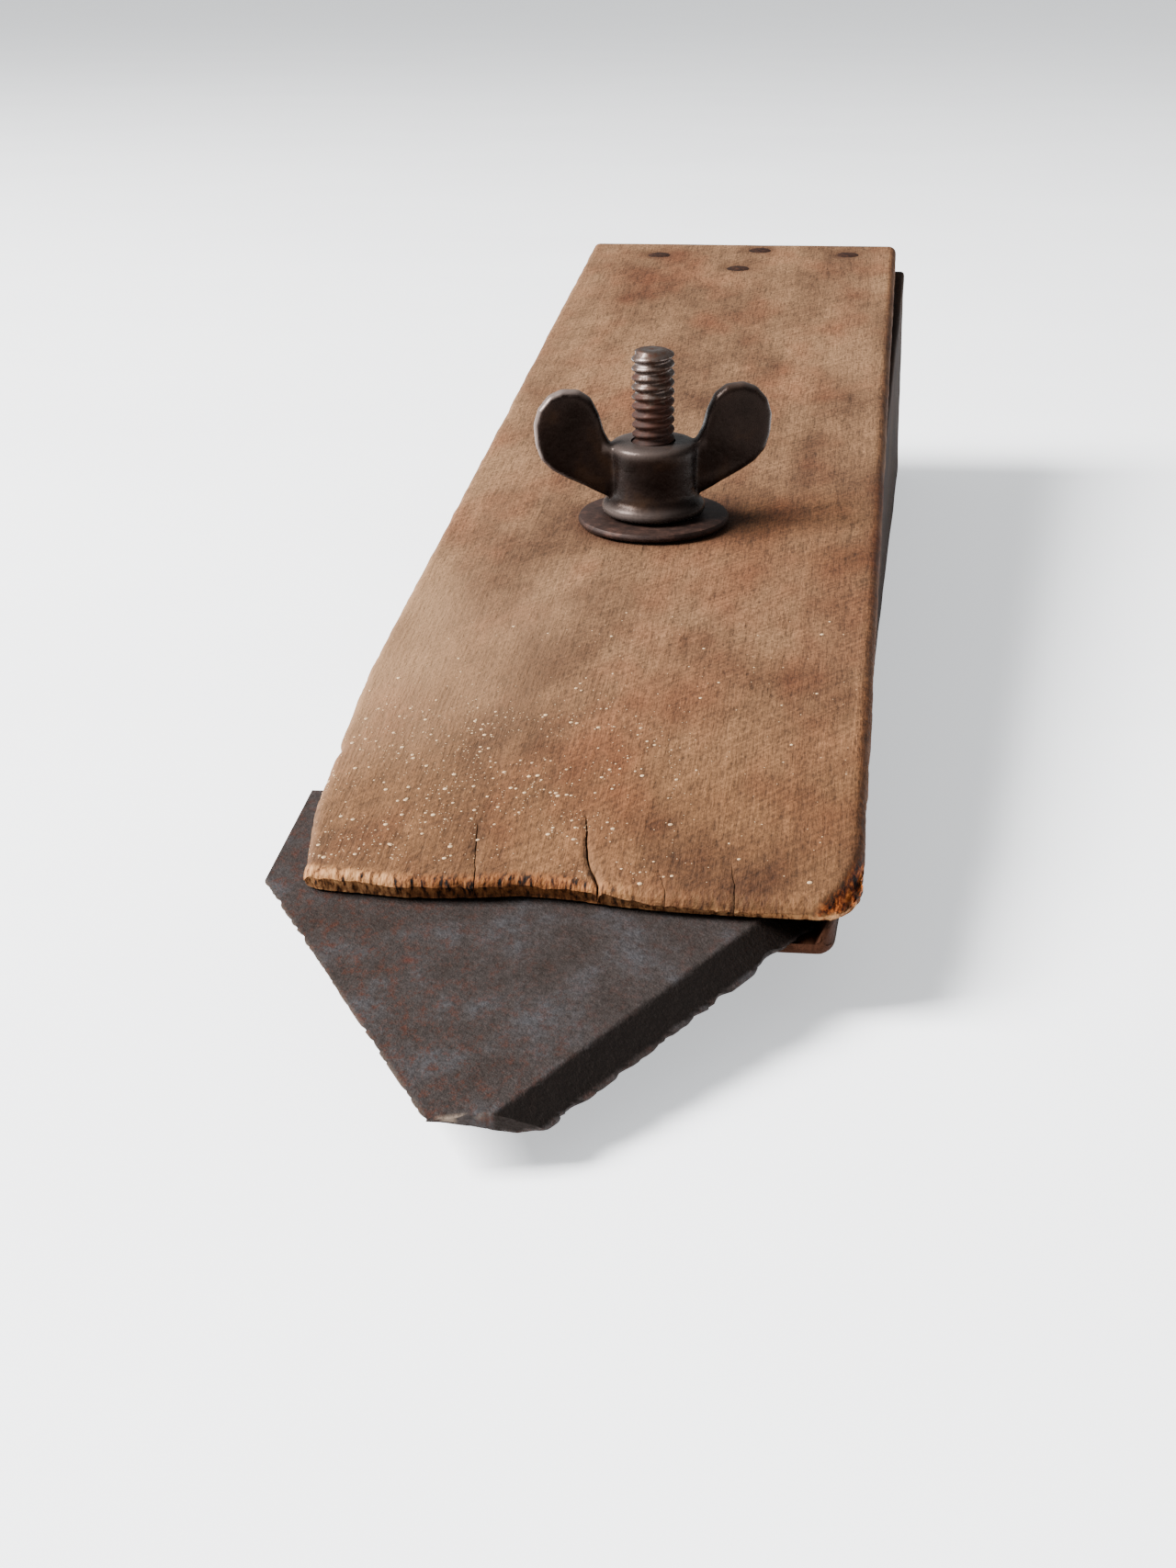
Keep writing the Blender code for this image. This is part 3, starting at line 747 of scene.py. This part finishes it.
# The cracks are painted near black: the shade inside them.
crack_share = np.zeros(len(x))
for crack in cracks:
    start = crack["line"][0][1]
    gap = np.abs(x - start - drawn_aside(start, y))
    fading = np.clip((crack["end"] - y) / (crack["end"] - board_front), 0, 1) ** 0.5
    narrow = np.clip(1.2 - gap / crack["wide"], 0, 1)
    crack_share = np.maximum(crack_share, narrow * fading * np.clip(6 * crack["wide"] + 0.2, 0, 1))
stamp(cap_mesh, "crack", crack_share * (z > 0.6))
splintered = np.clip((x - np.interp(y, *broken_edge)) / 0.5, 0, 1) * (y < broken_rear)
stamp(cap_mesh, "splintered", splintered * upper)
nail_stain = np.zeros(len(x))
for nail_across, nail_ahead in nail_places:
    away = np.hypot(x - nail_across, y - nail_ahead)
    nail_stain = np.maximum(nail_stain, np.exp(-((away / 4.4) ** 2.4)))
# Round the washer's rim the board is darkened by rust stain and by painted contact shade.
washer_rim_stain_and_shade = 0.55 * np.exp(-(((np.hypot(x, y) - 11.0) / 2.6) ** 2)) + 0.75 * (np.hypot(x, y) < 11.3)
stamp(cap_mesh, "stain", np.maximum(0.85 * nail_stain, washer_rim_stain_and_shade) * upper)
# Painted shade: the board's sides and underside are darkened.
dirty_side = np.clip((x - 32.4) / 0.8, 0, 1) + np.clip((-30.9 - x) / 0.5, 0, 0.6)
stamp(cap_mesh, "dirty_side", dirty_side + 1.0 * (z < 1.0))
# The paint fell on the front left, a little in from the edge, in patches.
front_left = np.clip((16 - x) / 16, 0, 1) * np.clip((-62 - y) / 26, 0, 1)
front_left *= np.clip((y - edge_here - 1.2) / 2.5, 0, 1)
patchy = np.clip(0.55 + 1.1 * wander(spots, (7, 9, 50), 40), 0.05, 1)
stray = 0.05 * (y < -40) * (y > edge_here + 2)
stamp(cap_mesh, "specks", (front_left * patchy + stray) * (z > 2.0) * (x < 32) * (x > -30))
# Hands wore the left side pale and darkened the middle; right of and behind the nut the board is
# darkened by a stain and by a painted shadow of the nut.
worn_pale = np.exp(-(((x + 24) / 17) ** 2) - ((y + 58) / 34) ** 2)
worn_pale += 0.35 * np.clip((-20 - x) / 12, 0, 1)
stamp(cap_mesh, "worn_pale", worn_pale * (0.75 + 0.5 * wander(spots, (8, 20, 50), 41)) * upper)
dusky = np.clip((x + 6) / 34, 0, 1) * np.clip(1 - np.abs(y + 15) / 90, 0, 1)
nut_shadow_and_stain = np.exp(-(((x - 10) / 17) ** 2) - ((y - 3) / 17) ** 2)
dusky = 0.6 * dusky + 0.75 * nut_shadow_and_stain
stamp(cap_mesh, "dusky", dusky * (0.8 + 0.5 * wander(spots, (9, 14, 50), 42)) * upper)
stamp(cap_mesh, "front_share", np.clip((-40 - y) / 60, 0, 1))

# Weathered hardwood, bare and rough: tan where it is worn, brown where hands and rust marked it,
# with painted shade round the washer, in its cracks and on its sides, a painted shadow of the nut,
# and raw orange fibres and black pores where the end grain and the broken corner show.
cap_wood, tree, shader, tone, (streaks, pores, dust) = old_wood(
    "weathered_hardwood", clamp_frame, "#684d36", "#402a1b", "#5b311d"
)
saw_frame = clamp_frame @ Matrix.Rotation(math.radians(-38), 4, "Z")
saw_marks = speckled(tree, saw_frame, (0.55, 14, 5), 2.0)
sawn = add(tree, map_range, sockets={"Value": saw_marks, 1: 0.3, 2: 0.7, 3: 0.8, 4: 1.2})
layers = (("MULTIPLY", "front_share", "#e6d8c8"), ("MULTIPLY", 1.0, sawn))
tone = layered(tree, tone, layers)
# Rust stains round the nails, and rust stain with painted contact shade round the washer.
stained = add(tree, "ShaderNodeAttribute", {"attribute_name": "stain"})
stained = add(tree, maths, {"operation": "MULTIPLY"}, {0: (stained, "Fac"), 1: 0.8})
# Over the pale wear: the darker middle with the nut's painted shadow, the painted side shade, and the stains
# with the washer's painted contact shade.
layers = (
    ("MIX", "worn_pale", layered(tree, tone, [("MIX", 0.5, "#8b6c50")])),
    ("MULTIPLY", "dusky", "#b39b84"),
    ("MULTIPLY", "dirty_side", "#ecd9c6"),
    ("MIX", stained, "#30190d"),
)
tone = layered(tree, tone, layers)

end_pores = speckled(tree, clamp_frame, (0.5, 1.4, 2.2), 3.0, 0.6)
# Darker end grain in the middle of the front edge.
end_middle_mask = add(tree, "ShaderNodeAttribute", {"attribute_name": "sooty_end"})
end_lift = add(tree, map_range, sockets={"Value": (end_middle_mask, "Fac"), 1: 0.0, 2: 1.0, 3: 0.05, 4: 0.0})
end_share = add(tree, maths, {"operation": "ADD"}, {0: end_pores, 1: end_lift})
end_stops = (
    (0.38, "#080402"),
    (0.44, "#4f3019"),
    (0.52, "#845936"),
    (0.68, "#a3784f"),
)
end_tone = add(tree, ramp, sockets={"Fac": end_share}, stops=end_stops)
end_tone = layered(tree, end_tone, [("MULTIPLY", "sooty_end", "#c4b09f")])
raw_fibres = speckled(tree, clamp_frame, (0.9, 3.4, 1.0), 4.0, 0.65)
raw_stops = ((0.40, "#080201"), (0.48, "#5a2608"), (0.62, "#a8602c"))
raw_tone = add(tree, ramp, sockets={"Fac": raw_fibres}, stops=raw_stops)
# Raw end grain and broken fibres, and the cracks in near black as painted shade.
layers = (
    ("MIX", "end_grain", end_tone),
    ("MIX", "splintered", raw_tone),
    ("MIX", "crack", "#160a04"),
)
tone = layered(tree, tone, layers)
join(tree, shader, {"Base Color": tone, "Roughness": 0.82})
roughened(tree, shader, ((streaks, 0.14), (saw_marks, 0.09), (pores, 0.12), (dust, 0.16)))
cap_mesh.materials.append(cap_wood)
cap_board = show("cap_board_top", cap_mesh)
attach(cap_board, "cap")
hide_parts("cap_board")

# ---- Paint specks --------------------------------------------------------------------------
# Old cream paint that spattered on the front of the board and dried in small flat drops. They are
# scattered over its top, most of them at the left of the front edge.

# Oil paint dried in drops: cream gone brown with dirt, and duller than when it was new.
dried_paint, tree, shader = finish_named("dried_cream_paint", 0.55)
drops = speckled(tree, clamp_frame, (0.9, 0.9, 0.9), 2.0)
cream_stops = ((0.3, "#8d6f4f"), (0.7, "#b39775"))
cream = add(tree, ramp, sockets={"Fac": drops}, stops=cream_stops)
join(tree, shader, {"Base Color": cream})


def tree_of(name, inputs):
    """An empty tree of geometry nodes with named inputs, its input node and its output node."""
    tree = bpy.data.node_groups.new(name, "GeometryNodeTree")
    tree.interface.new_socket(name="Geometry", in_out="INPUT", socket_type="NodeSocketGeometry")
    tree.interface.new_socket(name="Geometry", in_out="OUTPUT", socket_type="NodeSocketGeometry")
    for key, kind in inputs.items():
        tree.interface.new_socket(name=key, in_out="INPUT", socket_type=kind)
    return tree, tree.nodes.new("NodeGroupInput"), tree.nodes.new("NodeGroupOutput")


def grown(name, source, tree, values):
    """The plain mesh that a tree of geometry nodes makes from a source object."""
    modifier = source.modifiers.new(name, "NODES")
    modifier.node_group = tree
    for item in tree.interface.items_tree:
        if item.in_out == "INPUT" and item.name in values:
            modifier[item.identifier] = values[item.name]
    return evaluated(name, source)


inputs = {
    "Most drops": "NodeSocketFloat",
    "Drop size": "NodeSocketFloat",
    "Seed": "NodeSocketInt",
    "Paint": "NodeSocketMaterial",
}
tree, given, made = tree_of("paint_specks", inputs)
where = add(tree, "GeometryNodeInputNamedAttribute", {"data_type": "FLOAT"}, {"Name": "specks"})
times = {"operation": "MULTIPLY"}
density = add(tree, maths, times, {0: (where, "Attribute"), 1: (given, "Most drops")})
scattered = add(
    tree,
    "GeometryNodeDistributePointsOnFaces",
    sockets={"Mesh": (given, "Geometry"), "Density": density, "Seed": (given, "Seed")},
)
drop = add(tree, "GeometryNodeMeshIcoSphere", sockets={"Radius": 0.5, "Subdivisions": 2})
chance = add(
    tree,
    "FunctionNodeRandomValue",
    {"data_type": "FLOAT"},
    {"Min_001": 0.0, "Max_001": 1.0, "Seed": (given, "Seed")},
)
# Most drops are small. The power makes a big one rare, and each is a third as thick as it is wide.
rarely_big = add(tree, maths, {"operation": "POWER"}, {0: (chance, "Value_001"), 1: 7.0})
wide = add(tree, maths, {"operation": "MULTIPLY_ADD"}, {0: rarely_big, 1: 1.5, 2: 0.42})
wide = add(tree, maths, times, {0: wide, 1: (given, "Drop size")})
thin = add(tree, maths, times, {0: wide, 1: 0.34})
size = add(tree, "ShaderNodeCombineXYZ", sockets={"X": wide, "Y": wide, "Z": thin})
placed = add(
    tree,
    "GeometryNodeInstanceOnPoints",
    sockets={
        "Points": (scattered, "Points"),
        "Instance": (drop, "Mesh"),
        "Rotation": (scattered, "Rotation"),
        "Scale": size,
    },
)
whole = add(tree, "GeometryNodeRealizeInstances", sockets={"Geometry": placed})
painted = add(tree, "GeometryNodeSetMaterial", sockets={"Geometry": whole, "Material": (given, "Paint")})
join(tree, made, {"Geometry": painted})

board_copy = bpy.data.objects.new("board_copy", cap_mesh.copy())
values = {"Most drops": 900000.0, "Drop size": 0.34 * mm, "Seed": 7, "Paint": dried_paint}
speck_mesh = finished(grown("paint_specks", board_copy, tree, values), 80)
specks = show("paint_specks", speck_mesh)
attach(specks, "cap")

# ---- Nails ---------------------------------------------------------------------------------
# Four old wire nails that hold the rear of the board to the body. Their flat heads were driven
# just below the surface and have rusted dark.

# Rusted iron wire: rough, brown-black, with no shine left.
nail_iron, tree, shader = finish_named("rusted_wire_nail", 0.8, 0.0)
rust = speckled(tree, clamp_frame, (0.9, 0.9, 0.9), 4.0, 0.65)
tone = add(
    tree,
    ramp,
    sockets={"Fac": rust},
    stops=((0.35, "#140b08"), (0.55, "#24140d"), (0.7, "#3a2216")),
)
join(tree, shader, {"Base Color": tone, "Specular IOR Level": 0.1})
roughened(tree, shader, ((rust, 0.10),))


def turned(profile, steps):
    """The points and faces of a profile of radius and height turned round its axis."""
    angles = 2 * math.pi * np.arange(steps) / steps
    points, faces, starts = [], [], []
    for radius, height in profile:
        starts.append(len(points))
        around = angles[:1] if radius == 0 else angles
        points += [(radius * math.cos(a), radius * math.sin(a), height) for a in around]
    rings = list(zip(starts, profile))
    for (first, (inner, _)), (second, (outer, _)) in zip(rings, rings[1:]):
        for step in range(steps):
            after = (step + 1) % steps
            if inner == 0:
                faces.append((first, second + step, second + after))
            elif outer == 0:
                faces.append((first + step, second, first + after))
            else:
                faces.append((first + step, second + step, second + after, first + after))
    return points, faces


def turned_mesh(name, profile, steps, frame, sharp=35):
    """A closed turned mesh in one of the frames."""
    mesh = bpy.data.meshes.new(name)
    points, faces = turned(profile, steps)
    mesh.from_pydata([tuple(c * mm for c in point) for point in points], [], faces)
    face_outward(mesh)
    mesh.transform(frame)
    return finished(mesh, sharp)


nail_profile = (
    (0, 0.0), (1.2, -0.02), (2.1, -0.10), (2.42, -0.26), (2.48, -0.5), (2.40, -0.78), (2.0, -0.92),
    (1.5, -1.0), (1.3, -1.25), (1.28, -24.0), (1.1, -26.0), (0.35, -28.8), (0, -29.05),
)
nail = show("nail", turned_mesh("nail", nail_profile, 24, level_frame))

inputs = {
    "Nail": "NodeSocketObject",
    "Most lean": "NodeSocketFloat",
    "Seed": "NodeSocketInt",
    "Iron": "NodeSocketMaterial",
}
tree, given, made = tree_of("driven_nails", inputs)
one_nail = add(tree, "GeometryNodeObjectInfo", {"transform_space": "ORIGINAL"}, {"Object": (given, "Nail")})
lean = add(tree, maths, {"operation": "MULTIPLY"}, {0: (given, "Most lean"), 1: -1.0})
least = add(tree, "ShaderNodeCombineXYZ", sockets={"X": lean, "Y": lean, "Z": -3.14})
most_lean = (given, "Most lean")
most = add(tree, "ShaderNodeCombineXYZ", sockets={"X": most_lean, "Y": most_lean, "Z": 3.14})
turn = add(
    tree,
    "FunctionNodeRandomValue",
    {"data_type": "FLOAT_VECTOR"},
    {"Min": least, "Max": most, "Seed": (given, "Seed")},
)
driven = add(
    tree,
    "GeometryNodeInstanceOnPoints",
    sockets={"Points": (given, "Geometry"), "Instance": (one_nail, "Geometry"), "Rotation": (turn, "Value")},
)
whole = add(tree, "GeometryNodeRealizeInstances", sockets={"Geometry": driven})
rusted = add(tree, "GeometryNodeSetMaterial", sockets={"Geometry": whole, "Material": (given, "Iron")})
join(tree, made, {"Geometry": rusted})

nail_head_level = 5.16
mesh = bpy.data.meshes.new("nail_places")
mesh.from_pydata([(u * mm, v * mm, nail_head_level * mm) for u, v in nail_places], [], [])
values = {"Nail": nail, "Most lean": math.radians(0.8), "Seed": 3, "Iron": nail_iron}
nails_mesh = grown("nails", bpy.data.objects.new("nail_places", mesh), tree, values)
bpy.data.objects.remove(nail, do_unlink=True)
nails_mesh.transform(clamp_frame)
nails = show("nails", finished(nails_mesh))
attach(nails, "stock")
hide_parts("nail_1", "nail_2", "nail_3", "nail_4")

# ---- Bolt ----------------------------------------------------------------------------------
# An old quarter inch stove bolt, rolled with a coarse thread of 18 turns to the inch. Its slotted
# head sits in a counterbore in the sole, and it comes up through body, board and washer.

bolt_radius, thread_pitch, thread_deep, thread_foot = 3.17, 1.411, 0.52, -11.0
bolt_top, head_low, head_high = 31.8, -20.62, -17.13
slot_size, slot_turn = (20 * mm, 1.5 * mm, 2.4 * mm, 1), math.radians(24)

# Bare low-carbon steel, worn bright on the thread's crests and rusted brown towards its foot.
bolt_steel, tree, shader = finish_named("rusted_bright_steel", 0.42, 0.75)
rust = speckled(tree, bed_frame, (1.6, 1.6, 2.4), 5.0, 0.65)
up = turned_to(tree, bed_frame, (1, 1, 1))
height = add(tree, "ShaderNodeSeparateXYZ", sockets={"Vector": up})
foot_rust = add(tree, map_range, sockets={"Value": (height, "Z"), 1: 16.0, 2: 27.0, 3: 0.42, 4: 0.02})
rusty = add(tree, maths, {"operation": "ADD"}, {0: rust, 1: foot_rust})
rust_stops = (
    (0.38, "#5c524e"),
    (0.54, "#3b2e27"),
    (0.66, "#2f170d"),
    (0.9, "#1e0e08"),
)
tone = add(tree, ramp, sockets={"Fac": rusty}, stops=rust_stops)
shine = add(tree, map_range, sockets={"Value": rusty, 1: 0.45, 2: 0.75, 3: 0.85, 4: 0.15})
dull = add(tree, map_range, sockets={"Value": rusty, 1: 0.45, 2: 0.75, 3: 0.36, 4: 0.72})
join(tree, shader, {"Base Color": tone, "Metallic": shine, "Roughness": dull, "Specular IOR Level": 0.2})
roughened(tree, shader, ((rust, 0.07),))

inputs = {
    "Pitch": "NodeSocketFloat",
    "Depth": "NodeSocketFloat",
    "Thread foot": "NodeSocketFloat",
    "Steel": "NodeSocketMaterial",
}
tree, given, made = tree_of("rolled_thread", inputs)
here = add(tree, "GeometryNodeInputPosition")
parts = add(tree, "ShaderNodeSeparateXYZ", sockets={"Vector": here})
# The thread's phase runs on by one for each turn and each pitch, and its ridge rises and falls.
angle = add(tree, maths, {"operation": "ARCTAN2"}, {0: (parts, "Y"), 1: (parts, "X")})
turns = add(tree, maths, {"operation": "DIVIDE"}, {0: angle, 1: 2 * math.pi})
rise = add(tree, maths, {"operation": "DIVIDE"}, {0: (parts, "Z"), 1: (given, "Pitch")})
phase = add(tree, maths, {"operation": "SUBTRACT"}, {0: rise, 1: turns})
ridge = add(tree, maths, {"operation": "PINGPONG"}, {0: phase, 1: 0.5})
above_foot = add(tree, maths, {"operation": "SUBTRACT"}, {0: (parts, "Z"), 1: (given, "Thread foot")})
smooth = {"interpolation_type": "SMOOTHSTEP"}
root = add(tree, map_range, smooth, {"Value": ridge, 1: 0.04, 2: 0.46, 3: 0.0, 4: 1.0})
run_out = {"Value": above_foot, 1: 0.0, 2: 2.0 * mm, 3: 0.0, 4: 1.0}
runs_out = add(tree, map_range, sockets=run_out)
cut = add(tree, maths, times, {0: root, 1: runs_out})
cut = add(tree, maths, times, {0: cut, 1: (given, "Depth")})
outward = add(tree, "ShaderNodeCombineXYZ", sockets={"X": (parts, "X"), "Y": (parts, "Y")})
outward = add(tree, "ShaderNodeVectorMath", {"operation": "NORMALIZE"}, {0: outward})
inward = add(tree, maths, times, {0: cut, 1: -1.0})
toward = {0: (outward, "Vector"), "Scale": inward}
shift = add(tree, "ShaderNodeVectorMath", {"operation": "SCALE"}, toward)
moved = {"Geometry": (given, "Geometry"), "Offset": (shift, "Vector")}
threaded = add(tree, "GeometryNodeSetPosition", sockets=moved)
whole = add(tree, "GeometryNodeRealizeInstances", sockets={"Geometry": threaded})
steel = add(tree, "GeometryNodeSetMaterial", sockets={"Geometry": whole, "Material": (given, "Steel")})
join(tree, made, {"Geometry": steel})

rings = np.arange(head_high + 0.6, bolt_top - 0.7, thread_pitch / 9)
bolt_profile = [
    (0, head_low), (4.6, head_low), (5.6, head_low + 0.12), (6.35, head_low + 0.55),
    (6.65, head_low + 1.2), (6.68, head_high - 0.6), (6.4, head_high - 0.12), (5.9, head_high),
    (3.6, head_high), (3.25, head_high + 0.2), (bolt_radius, head_high + 0.5),
    *((bolt_radius, ring) for ring in rings[1:]),
    (bolt_radius - 0.1, bolt_top - 0.6), (bolt_radius - 0.45, bolt_top - 0.25),
    (bolt_radius - 0.9, bolt_top - 0.04), (1.4, bolt_top), (0, bolt_top - 0.02),
]
blank_mesh = turned_mesh("bolt_blank", bolt_profile, 48, level_frame, 60)
blank = bpy.data.objects.new("bolt_blank", blank_mesh)
values = {
    "Pitch": thread_pitch * mm,
    "Depth": thread_deep * mm,
    "Thread foot": thread_foot * mm,
    "Steel": bolt_steel,
}
bolt_mesh = grown("threaded_bolt", blank, tree, values)

slot_shape = bmesh.new()
slot_place = Matrix.Translation((0, 0, head_low * mm)) @ Matrix.Rotation(slot_turn, 4, "Z")
bmesh.ops.create_cube(slot_shape, size=1, matrix=slot_place @ Matrix.Diagonal(slot_size))
bolt_mesh = cut_away(bolt_mesh, slot_shape)
bolt_mesh.transform(bed_frame)
bolt = show("threaded_bolt", finished(bolt_mesh, 50))
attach(bolt, "stock")
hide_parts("bolt")

# ---- Washer --------------------------------------------------------------------------------
# A stamped flat washer under the nut, its rim rolled over by the punch and its faces rusted brown.
# It turns with nothing: it lies loose between the nut and the board.

# Mild steel with a thin even rust: brown and dull, with a little metal still showing through.
washer_rust, tree, shader = finish_named("rusted_stamped_steel", 0.62, 0.45)
rust = speckled(tree, bed_frame, (1.5, 1.5, 1.0), 5.0, 0.65)
tone = add(
    tree,
    ramp,
    sockets={"Fac": rust},
    stops=((0.35, "#1b0e09"), (0.55, "#2a1a14"), (0.72, "#402a22")),
)
join(tree, shader, {"Base Color": tone, "Specular IOR Level": 0.3})
roughened(tree, shader, ((rust, 0.08),))
washer_low, washer_high, washer_radius, washer_bore = 5.62, 6.88, 11.28, 3.5
washer_profile = (
    (washer_bore, washer_low + 0.1), (3.7, washer_low), (washer_radius - 0.9, washer_low),
    (washer_radius - 0.2, washer_low + 0.12), (washer_radius, washer_low + 0.45),
    (washer_radius - 0.02, washer_high - 0.5), (washer_radius - 0.25, washer_high - 0.14),
    (washer_radius - 0.8, washer_high), (4.0, washer_high - 0.02), (3.6, washer_high - 0.14),
    (washer_bore, washer_high - 0.4), (washer_bore, washer_low + 0.1),
)
mesh = turned_mesh("flat_washer", washer_profile, 72, level_frame)
shape = bmesh.new()
shape.from_mesh(mesh)
bmesh.ops.remove_doubles(shape, verts=shape.verts, dist=1e-6)
for vertex in shape.verts:
    lump = noise.noise(vertex.co / (4 * mm)) * 0.09 * mm
    if vertex.co.z > (washer_low + 0.6) * mm:
        vertex.co.z -= abs(lump)
bmesh.ops.recalc_face_normals(shape, faces=shape.faces)
shape.to_mesh(mesh)
shape.free()
mesh.transform(bed_frame)
mesh.materials.append(washer_rust)
washer = show("flat_washer", mesh)
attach(washer, "washer")
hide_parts("washer")

# ---- Wing nut ------------------------------------------------------------------------------
# A wing nut of malleable iron, cast in one piece with a round hub, a collar and two ear-shaped
# wings, blackened, polished by fingers on the rims of its wings, and given painted highlights
# there and on its hub.

# Blackened cast iron: near black and a little rough, paler where fingers rubbed it, with painted highlights
# on its wing rims and hub.
blackened_iron, tree, shader = finish_named("blackened_cast_iron", 0.36, 0.1)
cast_skin = speckled(tree, bed_frame, (0.8, 0.8, 0.8), 4.0, 0.6)
clouds = speckled(tree, bed_frame, (5, 5, 5), 3.0)
tone = add(
    tree,
    ramp,
    sockets={"Fac": clouds},
    stops=((0.35, "#0a0706"), (0.55, "#140e0c"), (0.72, "#21160f")),
)
# Paler where rubbed, with painted highlights on the rims and hub.
tone = layered(tree, tone, [("MIX", "rubbed", "#80726c")])
rub_and_highlight = add(tree, "ShaderNodeAttribute", {"attribute_name": "rubbed"})
sheen = add(tree, map_range, sockets={"Value": cast_skin, 1: 0.3, 2: 0.7, 3: 0.22, 4: 0.38})
polish_and_highlight = add(tree, maths, {"operation": "MULTIPLY"}, {0: (rub_and_highlight, "Fac"), 1: 0.7})
join(tree, shader, {"Base Color": tone, "Roughness": sheen, "Metallic": polish_and_highlight})
join(tree, shader, {"Specular IOR Level": 0.12, "Specular Tint": linear("#d9b8a8")})
roughened(tree, shader, ((cast_skin, 0.05),))

nut_low, nut_turn = 7.22, math.radians(13.0)
nut_bore, bore_mouth = (0, 0, -1, 12, 3.32), (0, 0, 10.25, 12, 3.9)
hub_profile = [
    (0, 0), (7.2, 0), (7.6, 0.18), (7.74, 0.55), (7.70, 1.35), (7.35, 1.75), (6.75, 2.2),
    (6.45, 3.2), (6.38, 5.0), (6.42, 7.5), (6.55, 9.4), (6.45, 10.2), (6.0, 10.65), (5.2, 10.78),
    (0, 10.78),
]
wing_line = [
    (3.0, 4.0), (6.8, 2.6), (8.5, 3.4), (10.5, 4.5), (13.0, 5.7), (15.2, 7.0), (16.8, 8.7), (17.6, 11.1),
    (17.8, 14.1), (17.1, 16.4), (15.5, 18.3), (13.5, 19.1), (11.0, 18.9), (9.2, 17.6), (8.0, 15.1),
    (7.3, 12.5), (6.2, 10.4), (3.0, 9.6),
]
nut_shape = bmesh.new()
hub_mesh = turned_mesh("hub", hub_profile, 64, level_frame)
nut_shape.from_mesh(hub_mesh)
outline = np.array(wing_line)
middle = np.array([12.6, 12.0])
# The wing's outline drawn in towards its middle, and half its thickness there.
layers = [(0.0, 0.45), (0.10, 0.95), (0.3, 1.35), (0.62, 1.62), (1.0, 1.7)]
for side in (1, -1):
    pull = middle - outline
    pull = pull / np.linalg.norm(pull, axis=1)[:, None]
    count = len(outline)
    chain = []
    for inset, half in layers[::-1] + [(inset, -half) for inset, half in layers]:
        ring = outline + pull * inset
        thick = half * (1.18 - 0.028 * ring[:, 0]) + side * 0.007 * np.maximum(0, ring[:, 0] - 7) ** 2
        chain.append([nut_shape.verts.new((side * x * mm, y * mm, z * mm)) for (x, z), y in zip(ring, thick)])
    for first, second in zip(chain, chain[1:]):
        for i in range(count):
            j = (i + 1) % count
            nut_shape.faces.new((first[i], first[j], second[j], second[i]))
    nut_shape.faces.new(chain[0])
    nut_shape.faces.new(chain[-1][::-1])
bmesh.ops.recalc_face_normals(nut_shape, faces=nut_shape.faces)
nut_blank = bpy.data.meshes.new("nut_blank")
nut_shape.to_mesh(nut_blank)
nut_shape.free()
source = bpy.data.objects.new("nut_blank", nut_blank)
fused = source.modifiers.new("cast", "REMESH")
fused.mode = "VOXEL"
fused.voxel_size = 0.34 * mm
smoothed = source.modifiers.new("smoothed", "SMOOTH")
smoothed.factor = 0.5
smoothed.iterations = 5
nut_mesh = evaluated("wing_nut_cast", source)
nut_frame = bed_frame @ Matrix.Translation((0, 0, nut_low * mm)) @ Matrix.Rotation(nut_turn, 4, "Z")
nut_mesh.transform(nut_frame)
nut_mesh = bored(nut_mesh, nut_frame, [nut_bore, bore_mouth], 50)
x, y, z = local_points(nut_mesh, nut_frame).T
# How far each point lies from the wings' outline, which tells their rims.
nearest = np.full(len(x), 9.0)
for start, end in zip(outline, np.roll(outline, -1, axis=0)):
    run = end - start
    share = np.clip(((np.abs(x) - start[0]) * run[0] + (z - start[1]) * run[1]) / (run @ run), 0, 1)
    gap = np.hypot(np.abs(x) - start[0] - share * run[0], z - start[1] - share * run[1])
    nearest = np.minimum(nearest, gap)
rubbed = np.clip(1 - nearest / 0.55, 0, 1) * (np.hypot(x, y) > 8.5)
rubbed *= np.clip((np.abs(x) - 9) / 5, 0, 1)
# Painted highlight rings round the hub's collar and crown.
collar, crown = np.exp(-(((z - 1.2) / 0.7) ** 2)), np.exp(-(((z - 10.4) / 0.6) ** 2))
hub_highlight_rings = (np.hypot(x, y) < 8) * (collar + crown)
# The painted highlight is strongest on the left, the lamp's side, and fades out across the hub.
lamp_side = np.clip(0.4 - x / 9, 0, 1)
stamp(nut_mesh, "rubbed", (0.12 + 0.68 * lamp_side) * rubbed + (0.06 + 0.2 * lamp_side) * hub_highlight_rings)
nut_mesh.materials.append(blackened_iron)
nut = show("wing_nut_cast", nut_mesh)
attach(nut, "nut")
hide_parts("wing_nut")
